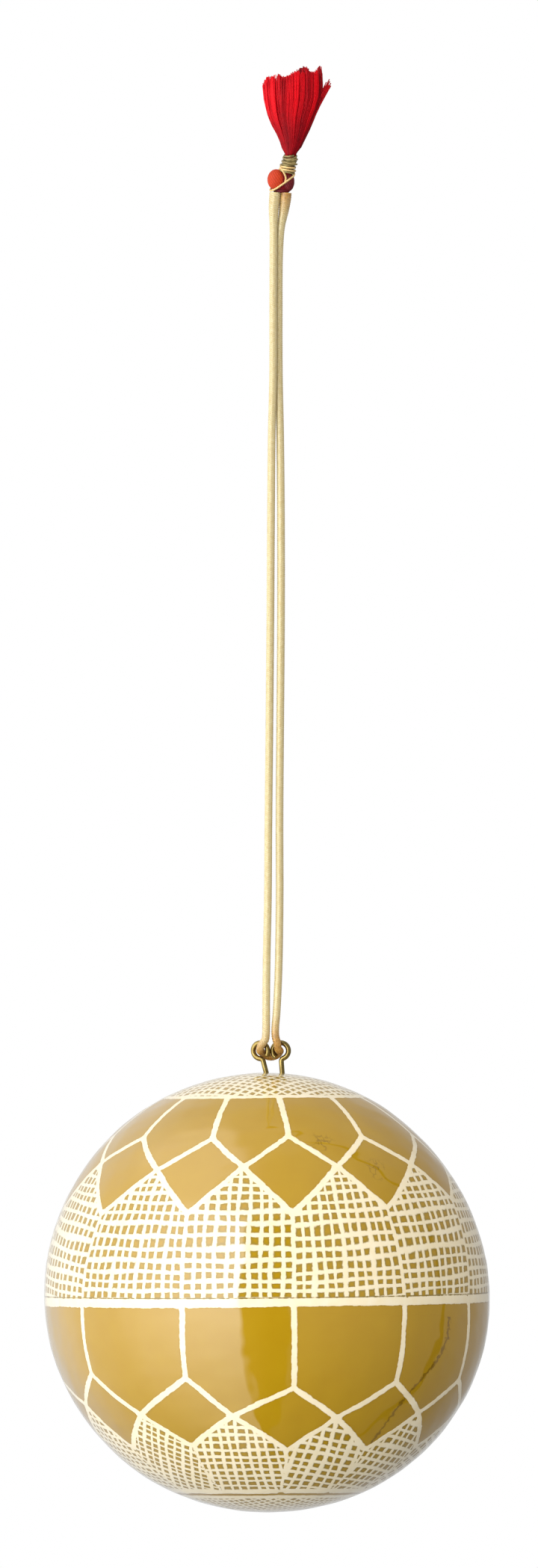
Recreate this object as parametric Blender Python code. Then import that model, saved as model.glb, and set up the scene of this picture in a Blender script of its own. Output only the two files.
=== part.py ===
"""A painted papier-mache ball ornament on a metallic cord, with a small tassel above the loop.

The origin is the hanging point: the top of the cord's loop, just under the tassel's head.
+Z is up, -Y faces the viewer, and lengths are metres. The ball hangs straight below the origin.
"""

from math import acos, asin, cos, degrees, pi, radians, sin

import bmesh
import bpy
from mathutils import Matrix, Vector

MM = 0.001

# The ball is a little flatter than it is wide.
BALL_RADIUS = 0.050
BALL_HALF_HEIGHT = 0.0494
BALL_SEGMENTS = 64

# The loop hangs this far from its top down to the middle of the two wire eyes.
LOOP_DROP = 0.1921

# Each eye is one brass wire: a pin pushed into the ball, and a ring bent from its top.
WIRE_DIAMETER = 0.00115
EYE_RING_RADIUS = 0.0018
EYE_BEND_RADIUS = 0.0008
EYE_RING_GAP = 0.0006
EYE_RING_HEIGHT = 0.0051
PIN_DEPTH = 0.008
PIN_CLEARANCE = 0.0003
EYE_SPACING = 0.0036
EYES_MIDDLE = 0.0011
LEFT_EYE_LEAN = radians(-15)
LEFT_EYE_TURN = radians(-25)
RIGHT_EYE_LEAN = radians(-5)
RIGHT_EYE_TURN = radians(174)

# The cord is one length: down the left strand, through both eyes and up the right strand.
CORD_DIAMETER = 0.0017
CORD_STEP_ON_STRANDS = 0.0072
CORD_STEP_AT_EYES = 0.00085

# The tassel is one bundle of threads, bound at the neck. It stands up from the loop.
THREAD_GAP = 0.0003
BINDING_THREAD_DIAMETER = 0.0005
BINDING_PITCH = 0.00064
BINDING_BOTTOM = 0.0052
BINDING_TOP = 0.0096
TASSEL_SIDES = 20

# Millimetres: x, z, half width, half depth and rise to the right, from the neck's foot upwards.
TASSEL_SECTIONS = (
    (0.90, 1.6, 0.70, 0.70, 0.00),
    (1.00, 2.6, 1.30, 1.20, 0.00),
    (1.35, 3.9, 1.35, 1.15, 0.00),
    (1.65, 4.8, 1.05, 1.00, 0.00),
    (2.20, 7.2, 1.12, 1.08, 0.00),
    (2.55, 9.9, 1.15, 1.15, 0.00),
    (2.70, 10.8, 2.00, 1.75, 0.00),
    (2.85, 13.4, 3.15, 2.50, 0.00),
    (2.62, 17.4, 5.10, 3.80, 0.04),
    (2.85, 21.4, 6.45, 4.60, 0.12),
    (2.85, 24.4, 6.60, 4.80, 0.22),
    (2.85, 26.4, 6.20, 4.40, 0.27),
    (2.90, 27.5, 5.10, 3.50, 0.29),
    (3.00, 27.9, 3.30, 2.20, 0.29),
)

# Millimetres: middle x, y, z, then half width, half depth and half height of the head's two lobes.
HEAD_LOBES = (
    (-0.55, -0.10, 2.98, 1.80, 1.60, 1.88),
    (2.25, 0.10, 2.85, 1.45, 1.40, 1.80),
)

# Millimetres, from the knot down the left strand, through the eyes and up the right strand.
CORD_ROUTE = (
    (-0.80, -0.10, 0.78),
    (-0.90, -0.15, -0.6),
    (-1.10, -0.27, -3.2),
    (-1.08, -0.42, -7.0),
    (-1.05, -0.61, -13.0),
    (-0.95, -0.66, -27.0),
    (-0.83, -0.64, -40.0),
    (-1.00, -0.32, -54.0),
    (-0.98, 0.00, -70.0),
    (-0.87, 0.10, -93.8),
    (-0.82, 0.20, -120.7),
    (-0.80, 0.10, -143.0),
    (-0.75, 0.00, -158.0),
    (-0.88, -0.45, -172.0),
    (-0.88, -1.10, -181.0),
    (-0.84, -1.90, -186.2),
    (-0.86, -2.28, -188.6),
    (-1.03, -2.38, -189.77),
    (-1.84, -2.11, -190.95),
    (-2.15, -1.29, -191.88),
    (-2.06, -0.16, -192.32),
    (-1.74, 0.91, -192.56),
    (-1.36, 1.66, -192.99),
    (-0.32, 2.26, -193.51),
    (0.74, 2.27, -193.55),
    (1.78, 1.74, -193.09),
    (2.24, 0.88, -192.45),
    (2.27, -0.35, -192.18),
    (1.86, -1.42, -191.65),
    (1.70, -2.15, -190.5),
    (1.30, -2.40, -189.0),
    (1.24, -2.15, -187.0),
    (1.48, -1.60, -183.8),
    (1.82, -0.60, -174.0),
    (1.90, 0.00, -158.0),
    (1.68, 0.10, -140.0),
    (1.52, -0.10, -93.8),
    (1.24, 0.00, -70.0),
    (0.90, 0.32, -54.0),
    (0.47, 0.65, -40.0),
    (0.29, 0.68, -27.0),
    (0.25, 0.66, -13.0),
    (0.58, 0.46, -7.0),
    (1.20, 0.27, -3.2),
    (1.52, 0.12, -0.6),
    (1.60, 0.10, 0.78),
)


def clear_scene():
    for obj in list(bpy.data.objects):
        bpy.data.objects.remove(obj, do_unlink=True)


def material(name, colour, roughness, metallic):
    made = bpy.data.materials.new(name)
    made.use_nodes = True
    shader = made.node_tree.nodes["Principled BSDF"]
    shader.inputs["Base Color"].default_value = (*colour, 1)
    shader.inputs["Roughness"].default_value = roughness
    shader.inputs["Metallic"].default_value = metallic
    return made


def mesh_object(name, mesh_maker, finish, smooth_below=radians(40)):
    """An object from a bmesh, with its faces pointing out and its round stretches shaded smooth."""
    mesh = bpy.data.meshes.new(name)
    bmesh.ops.recalc_face_normals(mesh_maker, faces=mesh_maker.faces[:])
    mesh_maker.to_mesh(mesh)
    mesh_maker.free()
    mesh.materials.append(finish)
    mesh.shade_smooth()
    mesh.set_sharp_from_angle(angle=smooth_below)
    obj = bpy.data.objects.new(name, mesh)
    bpy.context.collection.objects.link(obj)
    return obj


def boolean(obj, other, operation):
    """Cuts or joins obj by a helper object that isn't part of the model."""
    other.hide_render = True
    other.display_type = "WIRE"
    step = obj.modifiers.new(operation.title(), "BOOLEAN")
    step.operation = operation
    step.solver = "EXACT"
    step.object = other


def tube(name, points, diameter, resolution, finish):
    """A round wire or cord along a list of points, closed at both ends."""
    curve = bpy.data.curves.new(name, "CURVE")
    curve.dimensions = "3D"
    curve.bevel_depth = diameter / 2
    curve.bevel_resolution = resolution
    curve.use_fill_caps = True
    spline = curve.splines.new("POLY")
    spline.points.add(len(points) - 1)
    for place, point in zip(spline.points, points):
        place.co = (*point, 1)
    spline.use_smooth = True
    curve.materials.append(finish)
    obj = bpy.data.objects.new(name, curve)
    bpy.context.collection.objects.link(obj)
    return obj


def smooth_curve(points, share):
    """A point on the smooth curve through all the points, share running from 0 to len(points) - 1."""
    last = len(points) - 1
    i = min(int(share), last - 1)
    t = share - i
    before = points[i - 1] if i > 0 else 2 * points[0] - points[1]
    start, end = points[i], points[i + 1]
    after = points[i + 2] if i + 2 <= last else 2 * points[last] - points[last - 1]
    # Knots spaced by the square root of the distance keep uneven points from making loops.
    knots = [0.0]
    for a, b in ((before, start), (start, end), (end, after)):
        knots.append(knots[-1] + (b - a).length ** 0.5)
    at = knots[1] + t * (knots[2] - knots[1])

    def blend(a, b, low, high):
        return a + (b - a) * ((at - low) / (high - low))

    first = blend(before, start, knots[0], knots[1])
    second = blend(start, end, knots[1], knots[2])
    third = blend(end, after, knots[2], knots[3])
    left = blend(first, second, knots[0], knots[2])
    right = blend(second, third, knots[1], knots[3])
    return blend(left, right, knots[1], knots[2])


def cord_points():
    """The cord's route, read from a smooth curve: close together at the eyes, further apart above."""
    route = [Vector(point) * MM for point in CORD_ROUTE]
    pieces_per_span = 60
    fine = [
        smooth_curve(route, step / pieces_per_span)
        for step in range((len(route) - 1) * pieces_per_span + 1)
    ]
    eyes_reach = 0.007
    chosen = [fine[0]]
    for point in fine[1:-1]:
        near_eyes = point.z < eyes_reach - LOOP_DROP
        step = CORD_STEP_AT_EYES if near_eyes else CORD_STEP_ON_STRANDS
        if (point - chosen[-1]).length >= step:
            chosen.append(point)
    chosen.append(fine[-1])
    return chosen


def eye_path():
    """The wire of one eye in its own frame: Z up its pin from the ball's skin, X across its ring.

    The wire rises, bends to the left, then runs clockwise round the ring and stops short of the pin.
    The bend meets the ring smoothly when its turn is the one below, with the ring over the pin.
    """
    turn = acos(EYE_BEND_RADIUS / (EYE_BEND_RADIUS + EYE_RING_RADIUS))
    pin_top = EYE_RING_HEIGHT - (EYE_BEND_RADIUS + EYE_RING_RADIUS) * sin(turn)
    end_gap = 2 * asin((WIRE_DIAMETER + EYE_RING_GAP) / (2 * EYE_RING_RADIUS))
    pin_steps, bend_steps, ring_steps = 3, 5, 30
    points = []
    for step in range(pin_steps):
        points.append(Vector((0, 0, -PIN_DEPTH + (PIN_DEPTH + pin_top) * step / pin_steps)))
    for step in range(bend_steps):
        at = turn * step / bend_steps
        points.append(Vector((EYE_BEND_RADIUS * (cos(at) - 1), 0, pin_top + EYE_BEND_RADIUS * sin(at))))
    for step in range(ring_steps + 1):
        at = pi + turn - (2 * pi - end_gap) * step / ring_steps
        points.append(
            Vector((EYE_RING_RADIUS * cos(at), 0, EYE_RING_HEIGHT + EYE_RING_RADIUS * sin(at)))
        )
    return points


def ball_centre():
    return Vector((0, 0, -(LOOP_DROP + EYE_RING_HEIGHT + BALL_HALF_HEIGHT)))


def eye_frame(x, lean, turn):
    """Where an eye's pin enters the ball, with its lean to the right and its ring's turn."""
    skin = BALL_HALF_HEIGHT * (1 - (x / BALL_RADIUS) ** 2) ** 0.5
    base = ball_centre() + Vector((x, 0, skin))
    return Matrix.Translation(base) @ Matrix.Rotation(lean, 4, "Y") @ Matrix.Rotation(turn, 4, "Z")


def make_eye(name, frame, finish):
    return tube(name, [frame @ point for point in eye_path()], WIRE_DIAMETER, 3, finish)


def pin_cutter(frame):
    """The hole of one pin, open above the ball's skin."""
    above = 0.002
    depth = PIN_DEPTH + PIN_CLEARANCE
    maker = bmesh.new()
    bmesh.ops.create_cone(
        maker,
        cap_ends=True,
        segments=16,
        radius1=WIRE_DIAMETER / 2 + PIN_CLEARANCE,
        radius2=WIRE_DIAMETER / 2 + PIN_CLEARANCE,
        depth=depth + above,
        matrix=frame @ Matrix.Translation((0, 0, (above - depth) / 2)),
    )
    return mesh_object("pin_hole", maker, None)


def make_ball(eye_frames, finish):
    maker = bmesh.new()
    bmesh.ops.create_uvsphere(maker, u_segments=BALL_SEGMENTS, v_segments=BALL_SEGMENTS // 2, radius=1)
    scale = Matrix.Diagonal((BALL_RADIUS, BALL_RADIUS, BALL_HALF_HEIGHT, 1))
    bmesh.ops.transform(maker, matrix=Matrix.Translation(ball_centre()) @ scale, verts=maker.verts)
    ball = mesh_object("ball", maker, finish)
    for frame in eye_frames:
        boolean(ball, pin_cutter(frame), "DIFFERENCE")
    return ball


def ring_of(maker, section):
    """One level outline of the tassel's bundle."""
    x, z, half_width, half_depth, rise = section
    made = []
    for step in range(TASSEL_SIDES):
        at = 2 * pi * step / TASSEL_SIDES
        across = half_width * cos(at)
        made.append(maker.verts.new(Vector((x + across, half_depth * sin(at), z + rise * across)) * MM))
    return made


def head_lobe(lobe):
    x, y, z, half_width, half_depth, half_height = lobe
    maker = bmesh.new()
    bmesh.ops.create_uvsphere(maker, u_segments=18, v_segments=10, radius=MM)
    shape = Matrix.Diagonal((half_width, half_depth, half_height, 1))
    bmesh.ops.transform(
        maker, matrix=Matrix.Translation(Vector((x, y, z)) * MM) @ shape, verts=maker.verts
    )
    return mesh_object("head_lobe", maker, None)


def make_tassel(finish):
    """The threads: a fan-shaped skirt, the bound neck, and the two lobes of the head joined to it."""
    maker = bmesh.new()
    rings = [ring_of(maker, section) for section in TASSEL_SECTIONS]
    for lower, upper in zip(rings, rings[1:]):
        for i in range(TASSEL_SIDES):
            j = (i + 1) % TASSEL_SIDES
            maker.faces.new((lower[i], lower[j], upper[j], upper[i]))
    maker.faces.new(reversed(rings[0]))
    maker.faces.new(rings[-1])
    tassel = mesh_object("tassel", maker, finish)
    for lobe in HEAD_LOBES:
        boolean(tassel, head_lobe(lobe), "UNION")
    return tassel


def neck_at(height):
    """The neck's middle and half width at a height, between the sections that hold it."""
    for lower, upper in zip(TASSEL_SECTIONS, TASSEL_SECTIONS[1:]):
        low, high = lower[1] * MM, upper[1] * MM
        if low <= height <= high:
            share = (height - low) / (high - low)
            middle = (lower[0] + (upper[0] - lower[0]) * share) * MM
            return middle, (lower[2] + (upper[2] - lower[2]) * share) * MM
    raise ValueError("the binding is outside the tassel's sections")


def make_binding(finish):
    """The gold thread wound round the neck, one open coil."""
    steps_per_turn = 12
    turns = (BINDING_TOP - BINDING_BOTTOM) / BINDING_PITCH
    steps = round(turns * steps_per_turn)
    points = []
    for step in range(steps + 1):
        height = BINDING_BOTTOM + (BINDING_TOP - BINDING_BOTTOM) * step / steps
        middle, neck = neck_at(height)
        radius = neck + THREAD_GAP + BINDING_THREAD_DIAMETER / 2
        at = 2 * pi * step / steps_per_turn
        points.append(Vector((middle + radius * cos(at), radius * sin(at), height)))
    return tube("tassel_binding", points, BINDING_THREAD_DIAMETER, 2, finish)


def report_sizes(points):
    length = sum((b - a).length for a, b in zip(points, points[1:]))
    turn = degrees(acos(EYE_BEND_RADIUS / (EYE_BEND_RADIUS + EYE_RING_RADIUS)))
    print(f"cord: {len(points)} points, {length * 1000:.1f} mm; each eye bends {turn:.0f} degrees")


def build():
    clear_scene()
    painted = material("painted_paper", (0.57, 0.33, 0.02), 0.25, 0.0)
    brass = material("brass", (0.60, 0.42, 0.14), 0.30, 1.0)
    gold_cord = material("gold_cord", (0.72, 0.56, 0.22), 0.40, 0.6)
    red_thread = material("red_thread", (0.62, 0.01, 0.02), 0.60, 0.0)
    gold_thread = material("gold_thread", (0.48, 0.40, 0.14), 0.45, 0.6)
    left = EYES_MIDDLE - EYE_SPACING / 2
    right = EYES_MIDDLE + EYE_SPACING / 2
    left_frame = eye_frame(left, LEFT_EYE_LEAN, LEFT_EYE_TURN)
    right_frame = eye_frame(right, RIGHT_EYE_LEAN, RIGHT_EYE_TURN)
    make_ball((left_frame, right_frame), painted)
    make_eye("eye_left", left_frame, brass)
    make_eye("eye_right", right_frame, brass)
    points = cord_points()
    tube("cord", points, CORD_DIAMETER, 2, gold_cord)
    make_tassel(red_thread)
    make_binding(gold_thread)
    report_sizes(points)


build()
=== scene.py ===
# %% [markdown]
# # A painted paper ball on a gold cord
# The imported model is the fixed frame: it says where every piece is and how large it is. This lesson
# dresses it. Each step says what the piece is on the real ornament, how it could be made in Blender,
# and why this way was chosen. Lengths are metres, +Z is up and -Y faces the viewer.

# %% The frame
from math import acos, asin, atan2, cos, hypot, pi, radians, sin
from random import Random

import bmesh
import bpy
import numpy as np
from mathutils import Matrix, Vector
from mathutils.kdtree import KDTree


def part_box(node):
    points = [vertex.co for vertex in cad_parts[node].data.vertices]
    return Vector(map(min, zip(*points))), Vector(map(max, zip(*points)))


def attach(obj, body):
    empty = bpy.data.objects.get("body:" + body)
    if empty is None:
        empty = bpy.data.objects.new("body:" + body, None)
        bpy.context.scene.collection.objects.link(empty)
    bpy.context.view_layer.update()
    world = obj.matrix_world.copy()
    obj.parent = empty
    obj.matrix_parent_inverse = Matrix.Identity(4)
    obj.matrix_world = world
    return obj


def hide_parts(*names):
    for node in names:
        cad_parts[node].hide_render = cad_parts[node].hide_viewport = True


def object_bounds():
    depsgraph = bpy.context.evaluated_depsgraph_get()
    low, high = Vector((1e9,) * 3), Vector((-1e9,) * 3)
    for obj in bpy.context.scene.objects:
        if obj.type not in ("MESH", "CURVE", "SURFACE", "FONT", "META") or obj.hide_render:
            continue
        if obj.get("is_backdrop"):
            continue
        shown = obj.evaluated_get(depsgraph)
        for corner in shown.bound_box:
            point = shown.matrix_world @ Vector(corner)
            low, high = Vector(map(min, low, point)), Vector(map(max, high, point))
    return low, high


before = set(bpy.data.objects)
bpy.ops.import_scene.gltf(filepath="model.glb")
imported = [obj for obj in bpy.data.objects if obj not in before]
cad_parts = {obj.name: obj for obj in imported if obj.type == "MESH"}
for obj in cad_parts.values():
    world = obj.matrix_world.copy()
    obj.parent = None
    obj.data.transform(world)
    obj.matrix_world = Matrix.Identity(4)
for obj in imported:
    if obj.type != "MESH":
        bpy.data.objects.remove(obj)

MM = 0.001
cad_low, cad_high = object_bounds()
print("nodes in the frame:", sorted(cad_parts))

# %% [markdown]
# The ball's own box gives its middle and its two radii. Everything painted on it is placed from these.

# %% The ball's place
ball_low, ball_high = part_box("ball")
ball_middle = (ball_low + ball_high) / 2
ball_radius = (ball_high.x - ball_low.x) / 2
ball_half_height = (ball_high.z - ball_low.z) / 2
print("ball middle", tuple(round(x, 4) for x in ball_middle), "radius", round(ball_radius, 4))

# %% [markdown]
# ## The camera
# The picture was taken from far away and about one degree above the ball's middle, with the picture
# turned a little, so the strands lean to the right at the top. A long lens at four metres gives the
# same flat view. The lens follows from how many millimetres of the ornament one pixel covers.

# %% The camera
PICTURE_WIDTH, PICTURE_HEIGHT = 720, 2098
PIXEL = 0.16807 * MM
BALL_PIXEL = (357.3, 1729.3)
PICTURE_ROLL = radians(0.613)
CAMERA_DISTANCE = 4.0
CAMERA_ABOVE_BALL = radians(1.0)
SENSOR_WIDTH = 36


def in_picture(across, down):
    """The point of the ornament's middle plane that a pixel of the picture shows."""
    right = (across - BALL_PIXEL[0]) * PIXEL
    up = (BALL_PIXEL[1] - down) * PIXEL
    turn = Matrix.Rotation(PICTURE_ROLL, 2)
    x, z = turn @ Vector((right, up))
    return ball_middle + Vector((x, 0, z))


def show(name, data):
    """Puts a mesh, a lamp or a camera into the scene, as an object at the origin."""
    shown = bpy.data.objects.new(name, data)
    bpy.context.scene.collection.objects.link(shown)
    return shown


def add_camera():
    target = in_picture(PICTURE_WIDTH / 2, PICTURE_HEIGHT / 2)
    height = ball_middle.z + CAMERA_DISTANCE * sin(CAMERA_ABOVE_BALL)
    place = Vector((target.x, -CAMERA_DISTANCE, height))
    forward = (target - place).normalized()
    level = forward.cross(Vector((0, 0, 1))).normalized()
    upright = level.cross(forward)
    right = level * cos(PICTURE_ROLL) + upright * sin(PICTURE_ROLL)
    up = upright * cos(PICTURE_ROLL) - level * sin(PICTURE_ROLL)
    lens = bpy.data.cameras.new("camera")
    lens.sensor_width = SENSOR_WIDTH
    lens.lens = SENSOR_WIDTH * (target - place).length / (PICTURE_HEIGHT * PIXEL)
    lens.clip_start, lens.clip_end = 0.1, 100
    camera = show("camera", lens)
    axes = Matrix((right, up, -forward)).transposed().to_4x4()
    camera.matrix_world = Matrix.Translation(place) @ axes
    bpy.context.scene.camera = camera
    return camera


camera = add_camera()
print("lens", round(camera.data.lens, 1), "mm")

# %% [markdown]
# ## Helpers for materials
# Every finish is one Principled shader with a few nodes before it. What is the same all over goes
# straight onto the shader's own sockets. Only what changes over the surface comes from nodes.

# %% A material and its colours


def new_material(name, **values):
    """A material with plain values on its Principled shader, such as Roughness=0.4."""
    made = bpy.data.materials.new(name)
    made.use_nodes = True
    shader = made.node_tree.nodes["Principled BSDF"]
    for socket, value in values.items():
        shader.inputs[socket.replace("_", " ")].default_value = value
    return made, made.node_tree, shader


def linear(red, green, blue):
    """A colour as a painter reads it from 0 to 255, turned to the shader's linear values."""

    def one(value):
        share = value / 255
        return share / 12.92 if share <= 0.04045 else ((share + 0.055) / 1.055) ** 2.4

    return one(red), one(green), one(blue), 1.0


print("a painter's grey of 128 is", round(linear(128, 128, 128)[0], 3), "for the shader")

# %% [markdown]
# The same few nodes come back in every finish: a sum, a colour mix, a change of range, a noise, and
# a number that is kept on the vertices. Each has a helper that makes the node, joins what goes in
# and returns what comes out.

# %% Node helpers


def add_node(tree, kind, inputs=None, **settings):
    """A node of a kind, with its settings and the plain values of its inputs."""
    node = tree.nodes.new("ShaderNode" + kind)
    for name, value in settings.items():
        setattr(node, name, value)
    for socket, value in (inputs or {}).items():
        node.inputs[socket].default_value = value
    return node


def feed(tree, node, values):
    """Gives a node's inputs their values by slot. Each value is a socket, a plain value or None."""
    for slot, value in values.items():
        if isinstance(value, bpy.types.NodeSocket):
            tree.links.new(value, node.inputs[slot])
        elif value is not None:
            node.inputs[slot].default_value = value


def math_node(tree, operation, first, second=None, third=None):
    """A Math node on sockets or plain numbers. Returns its output."""
    node = add_node(tree, "Math", operation=operation)
    feed(tree, node, {0: first, 1: second, 2: third})
    return node.outputs[0]


def mix_node(tree, factor, first, second):
    """A colour mix. Each colour is a socket or four numbers. Returns its colour output."""
    # A Mix node has its float sockets first, so its colour sockets go by place and not by name.
    node = add_node(tree, "Mix", data_type="RGBA")
    feed(tree, node, {0: factor, 6: first, 7: second})
    return node.outputs[2]


def range_node(tree, value, low, high, first=0.0, last=1.0, steps="LINEAR"):
    """First up to the low value, last from the high one on, and a slope between them."""
    limits = {"From Min": low, "From Max": high, "To Min": first, "To Max": last}
    node = add_node(tree, "MapRange", limits, interpolation_type=steps)
    tree.links.new(value, node.inputs["Value"])
    return node.outputs["Result"]


def noise_node(tree, scale, detail):
    """A noise from 0 to 1 on Object coordinates."""
    noise = add_node(tree, "TexNoise", {"Scale": scale, "Detail": detail})
    tree.links.new(add_node(tree, "TexCoord").outputs["Object"], noise.inputs["Vector"])
    return noise.outputs["Fac"]


def stored_node(tree, name):
    """The number that is kept on the vertices under a name."""
    return add_node(tree, "Attribute", attribute_name=name).outputs["Fac"]


trial = bpy.data.node_groups.new("trial", "ShaderNodeTree")
slots = add_node(trial, "Mix", data_type="RGBA").inputs
print("a Mix node's colours go into slots", [i for i, slot in enumerate(slots) if slot.type == "RGBA"])
bpy.data.node_groups.remove(trial)

# %% [markdown]
# Handmade things are never one flat colour. "Mottle" is a node group that drifts between two
# colours with a noise on Object coordinates, so that it never slides over a piece. Paint, brass and
# thread each place it with their own colours and grain size.

# %% The mottle group
MOTTLE_SOCKETS = (
    ("Colour A", "INPUT", "Color"),
    ("Colour B", "INPUT", "Color"),
    ("Grain", "INPUT", "Float"),
    ("Contrast", "INPUT", "Float"),
    ("Colour", "OUTPUT", "Color"),
    ("Share", "OUTPUT", "Float"),
)


def make_mottle():
    group = bpy.data.node_groups.new("mottle", "ShaderNodeTree")
    for name, way, kind in MOTTLE_SOCKETS:
        group.interface.new_socket(name, in_out=way, socket_type="NodeSocket" + kind)
    given = group.nodes.new("NodeGroupInput").outputs
    result = group.nodes.new("NodeGroupOutput").inputs
    place = add_node(group, "TexCoord")
    noise = add_node(group, "TexNoise", {"Detail": 4.0, "Roughness": 0.55})
    group.links.new(place.outputs["Object"], noise.inputs["Vector"])
    group.links.new(given["Grain"], noise.inputs["Scale"])
    centred = math_node(group, "SUBTRACT", noise.outputs["Fac"], 0.5)
    share = math_node(group, "MULTIPLY_ADD", centred, given["Contrast"], 0.5)
    colour = mix_node(group, share, given["Colour A"], given["Colour B"])
    group.links.new(colour, result["Colour"])
    group.links.new(share, result["Share"])
    return group


def add_mottle(tree, colour_a, colour_b, grain, contrast, output="Colour"):
    """The group with its own values in a material. Returns one of its outputs."""
    node = tree.nodes.new("ShaderNodeGroup")
    node.node_tree = mottle
    feed(tree, node, {"Colour A": colour_a, "Colour B": colour_b, "Grain": grain, "Contrast": contrast})
    return node.outputs[output]


mottle = make_mottle()
print("group", mottle.name, "puts out", [name for name, way, _ in MOTTLE_SOCKETS if way == "OUTPUT"])

# %% [markdown]
# ## Helpers for lines and tubes
# Cord, wire and thread all follow a line. A few points with a smooth curve through them are enough
# to say where it runs. A curve object could do that too, but its points can't be read one by one
# before it is a mesh, and the cord's length and its even steps are needed here.

# %% Lines


def smooth_line(points, steps_per_span):
    """Points on the smooth curve through all the given ones."""
    fine = []
    last = len(points) - 1
    for i in range(last):
        before = points[i - 1] if i > 0 else 2 * points[0] - points[1]
        start, end = points[i], points[i + 1]
        after = points[i + 2] if i + 2 <= last else 2 * points[last] - points[last - 1]
        # Knots spaced by the square root of the distance keep uneven points from making loops.
        knots = [0.0]
        for a, b in ((before, start), (start, end), (end, after)):
            knots.append(knots[-1] + (b - a).length ** 0.5)

        def blend(a, b, low, high, at):
            return a + (b - a) * ((at - low) / (high - low))

        for step in range(steps_per_span):
            at = knots[1] + step / steps_per_span * (knots[2] - knots[1])
            first = blend(before, start, knots[0], knots[1], at)
            second = blend(start, end, knots[1], knots[2], at)
            third = blend(end, after, knots[2], knots[3], at)
            left = blend(first, second, knots[0], knots[2], at)
            right = blend(second, third, knots[1], knots[3], at)
            fine.append(blend(left, right, knots[1], knots[2], at))
    fine.append(points[last].copy())
    return fine


def line_length(points):
    return sum((b - a).length for a, b in zip(points, points[1:]))


def distances(points):
    """How far along a line each of its points is."""
    return np.cumsum([0.0] + [(b - a).length for a, b in zip(points, points[1:])])


def evenly(points, step):
    """The same line, read again at even steps of about the given length."""
    at = distances(points)
    count = max(2, round(at[-1] / step) + 1)
    wanted = np.linspace(0, at[-1], count)
    axes = [np.interp(wanted, at, [p[k] for p in points]) for k in range(3)]
    return [Vector(p) for p in zip(*axes)]


bow = smooth_line([Vector(point) for point in ((0, 0, 0), (1, 0, 1), (2, 0, 0))], 8)
print("three points make a smooth line of", len(bow), "points,", round(line_length(bow), 2), "long")

# %% [markdown]
# A curve with a round bevel makes the tube and, once it is a mesh, its UV map says how far along and
# how far round each corner is. That map is kept, because the braid's relief and the thread's twist
# follow it. The curve leaves the ends open, so they are filled afterwards.

# %% Tubes


def tubes(name, lines, radius, sides, thin=None):
    """One mesh object of round tubes along lines. thin(line, i) gives a point's share of the radius."""
    curve = bpy.data.curves.new(name, "CURVE")
    curve.dimensions = "3D"
    curve.bevel_depth = radius
    curve.bevel_resolution = sides // 2 - 2
    for line in lines:
        spline = curve.splines.new("POLY")
        spline.points.add(len(line) - 1)
        for i, (place, point) in enumerate(zip(spline.points, line)):
            place.co = (*point, 1)
            place.radius = thin(line, i) if thin else 1
    soft = show(name + "_line", curve)
    shown = soft.evaluated_get(bpy.context.evaluated_depsgraph_get())
    mesh = bpy.data.meshes.new_from_object(shown)
    bpy.data.objects.remove(soft)
    bpy.data.curves.remove(curve)
    mesh.name = name
    return show(name, mesh)


def close_ends(mesh):
    """Fills the open ends of every tube, faces pointing out."""
    maker = bmesh.new()
    maker.from_mesh(mesh)
    rims = [edge for edge in maker.edges if edge.is_boundary]
    bmesh.ops.holes_fill(maker, edges=rims, sides=0)
    bmesh.ops.recalc_face_normals(maker, faces=maker.faces[:])
    maker.to_mesh(mesh)
    maker.free()
    mesh.shade_smooth()


straw = tubes("straw", [[Vector((0, 0, 0)), Vector((0, 0, 1)), Vector((0, 0, 3))]], 0.1, 8)
print("a straw of 8 sides through three points has", len(straw.data.vertices), "vertices")

# %% [markdown]
# Relief and colour both follow numbers on the vertices. Blender's foreach_get and foreach_set move
# them to and from one long list at a time, which is far quicker than a loop over the vertices.
# The straw shows one thing to know: a tube's map counts its points and not its length, so the point
# a third of the way along is at a half. The cord's line is read at even steps for that reason.

# %% Numbers on a mesh


def mesh_of(name, maker):
    """The mesh of a finished bmesh."""
    mesh = bpy.data.meshes.new(name)
    maker.to_mesh(mesh)
    maker.free()
    return mesh


def coordinates(mesh):
    """The place of every vertex, one row each."""
    places = np.zeros(len(mesh.vertices) * 3, np.float32)
    mesh.vertices.foreach_get("co", places)
    return places.reshape(-1, 3)


def corner_vertices(mesh):
    """Which vertex each corner of each face is."""
    corners = np.zeros(len(mesh.loops), np.int32)
    mesh.loops.foreach_get("vertex_index", corners)
    return corners


def tube_places(mesh):
    """How far along its tube, and how far round it, each vertex is. Any corner will do: they agree."""
    map_values = np.zeros(len(mesh.loops) * 2, np.float32)
    mesh.uv_layers[0].data.foreach_get("uv", map_values)
    places = np.zeros((len(mesh.vertices), 2), np.float32)
    places[corner_vertices(mesh)] = map_values.reshape(-1, 2)
    return places[:, 0], places[:, 1]


def raise_surface(mesh, height):
    """Moves every vertex out along its normal by its own height."""
    normals = np.zeros(len(mesh.vertices) * 3, np.float32)
    mesh.vertex_normals.foreach_get("vector", normals)
    places = coordinates(mesh).ravel()
    places += normals * np.repeat(height, 3)
    mesh.vertices.foreach_set("co", places)
    mesh.update()


def store(mesh, name, values):
    """A number on every vertex that a material can read by name."""
    attribute = mesh.attributes.new(name, "FLOAT", "POINT")
    attribute.data.foreach_set("value", np.asarray(values, np.float32))


straw_along, _ = tube_places(straw.data)
print("the map puts the straw's points at", np.unique(straw_along).tolist())
bpy.data.meshes.remove(straw.data)
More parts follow.
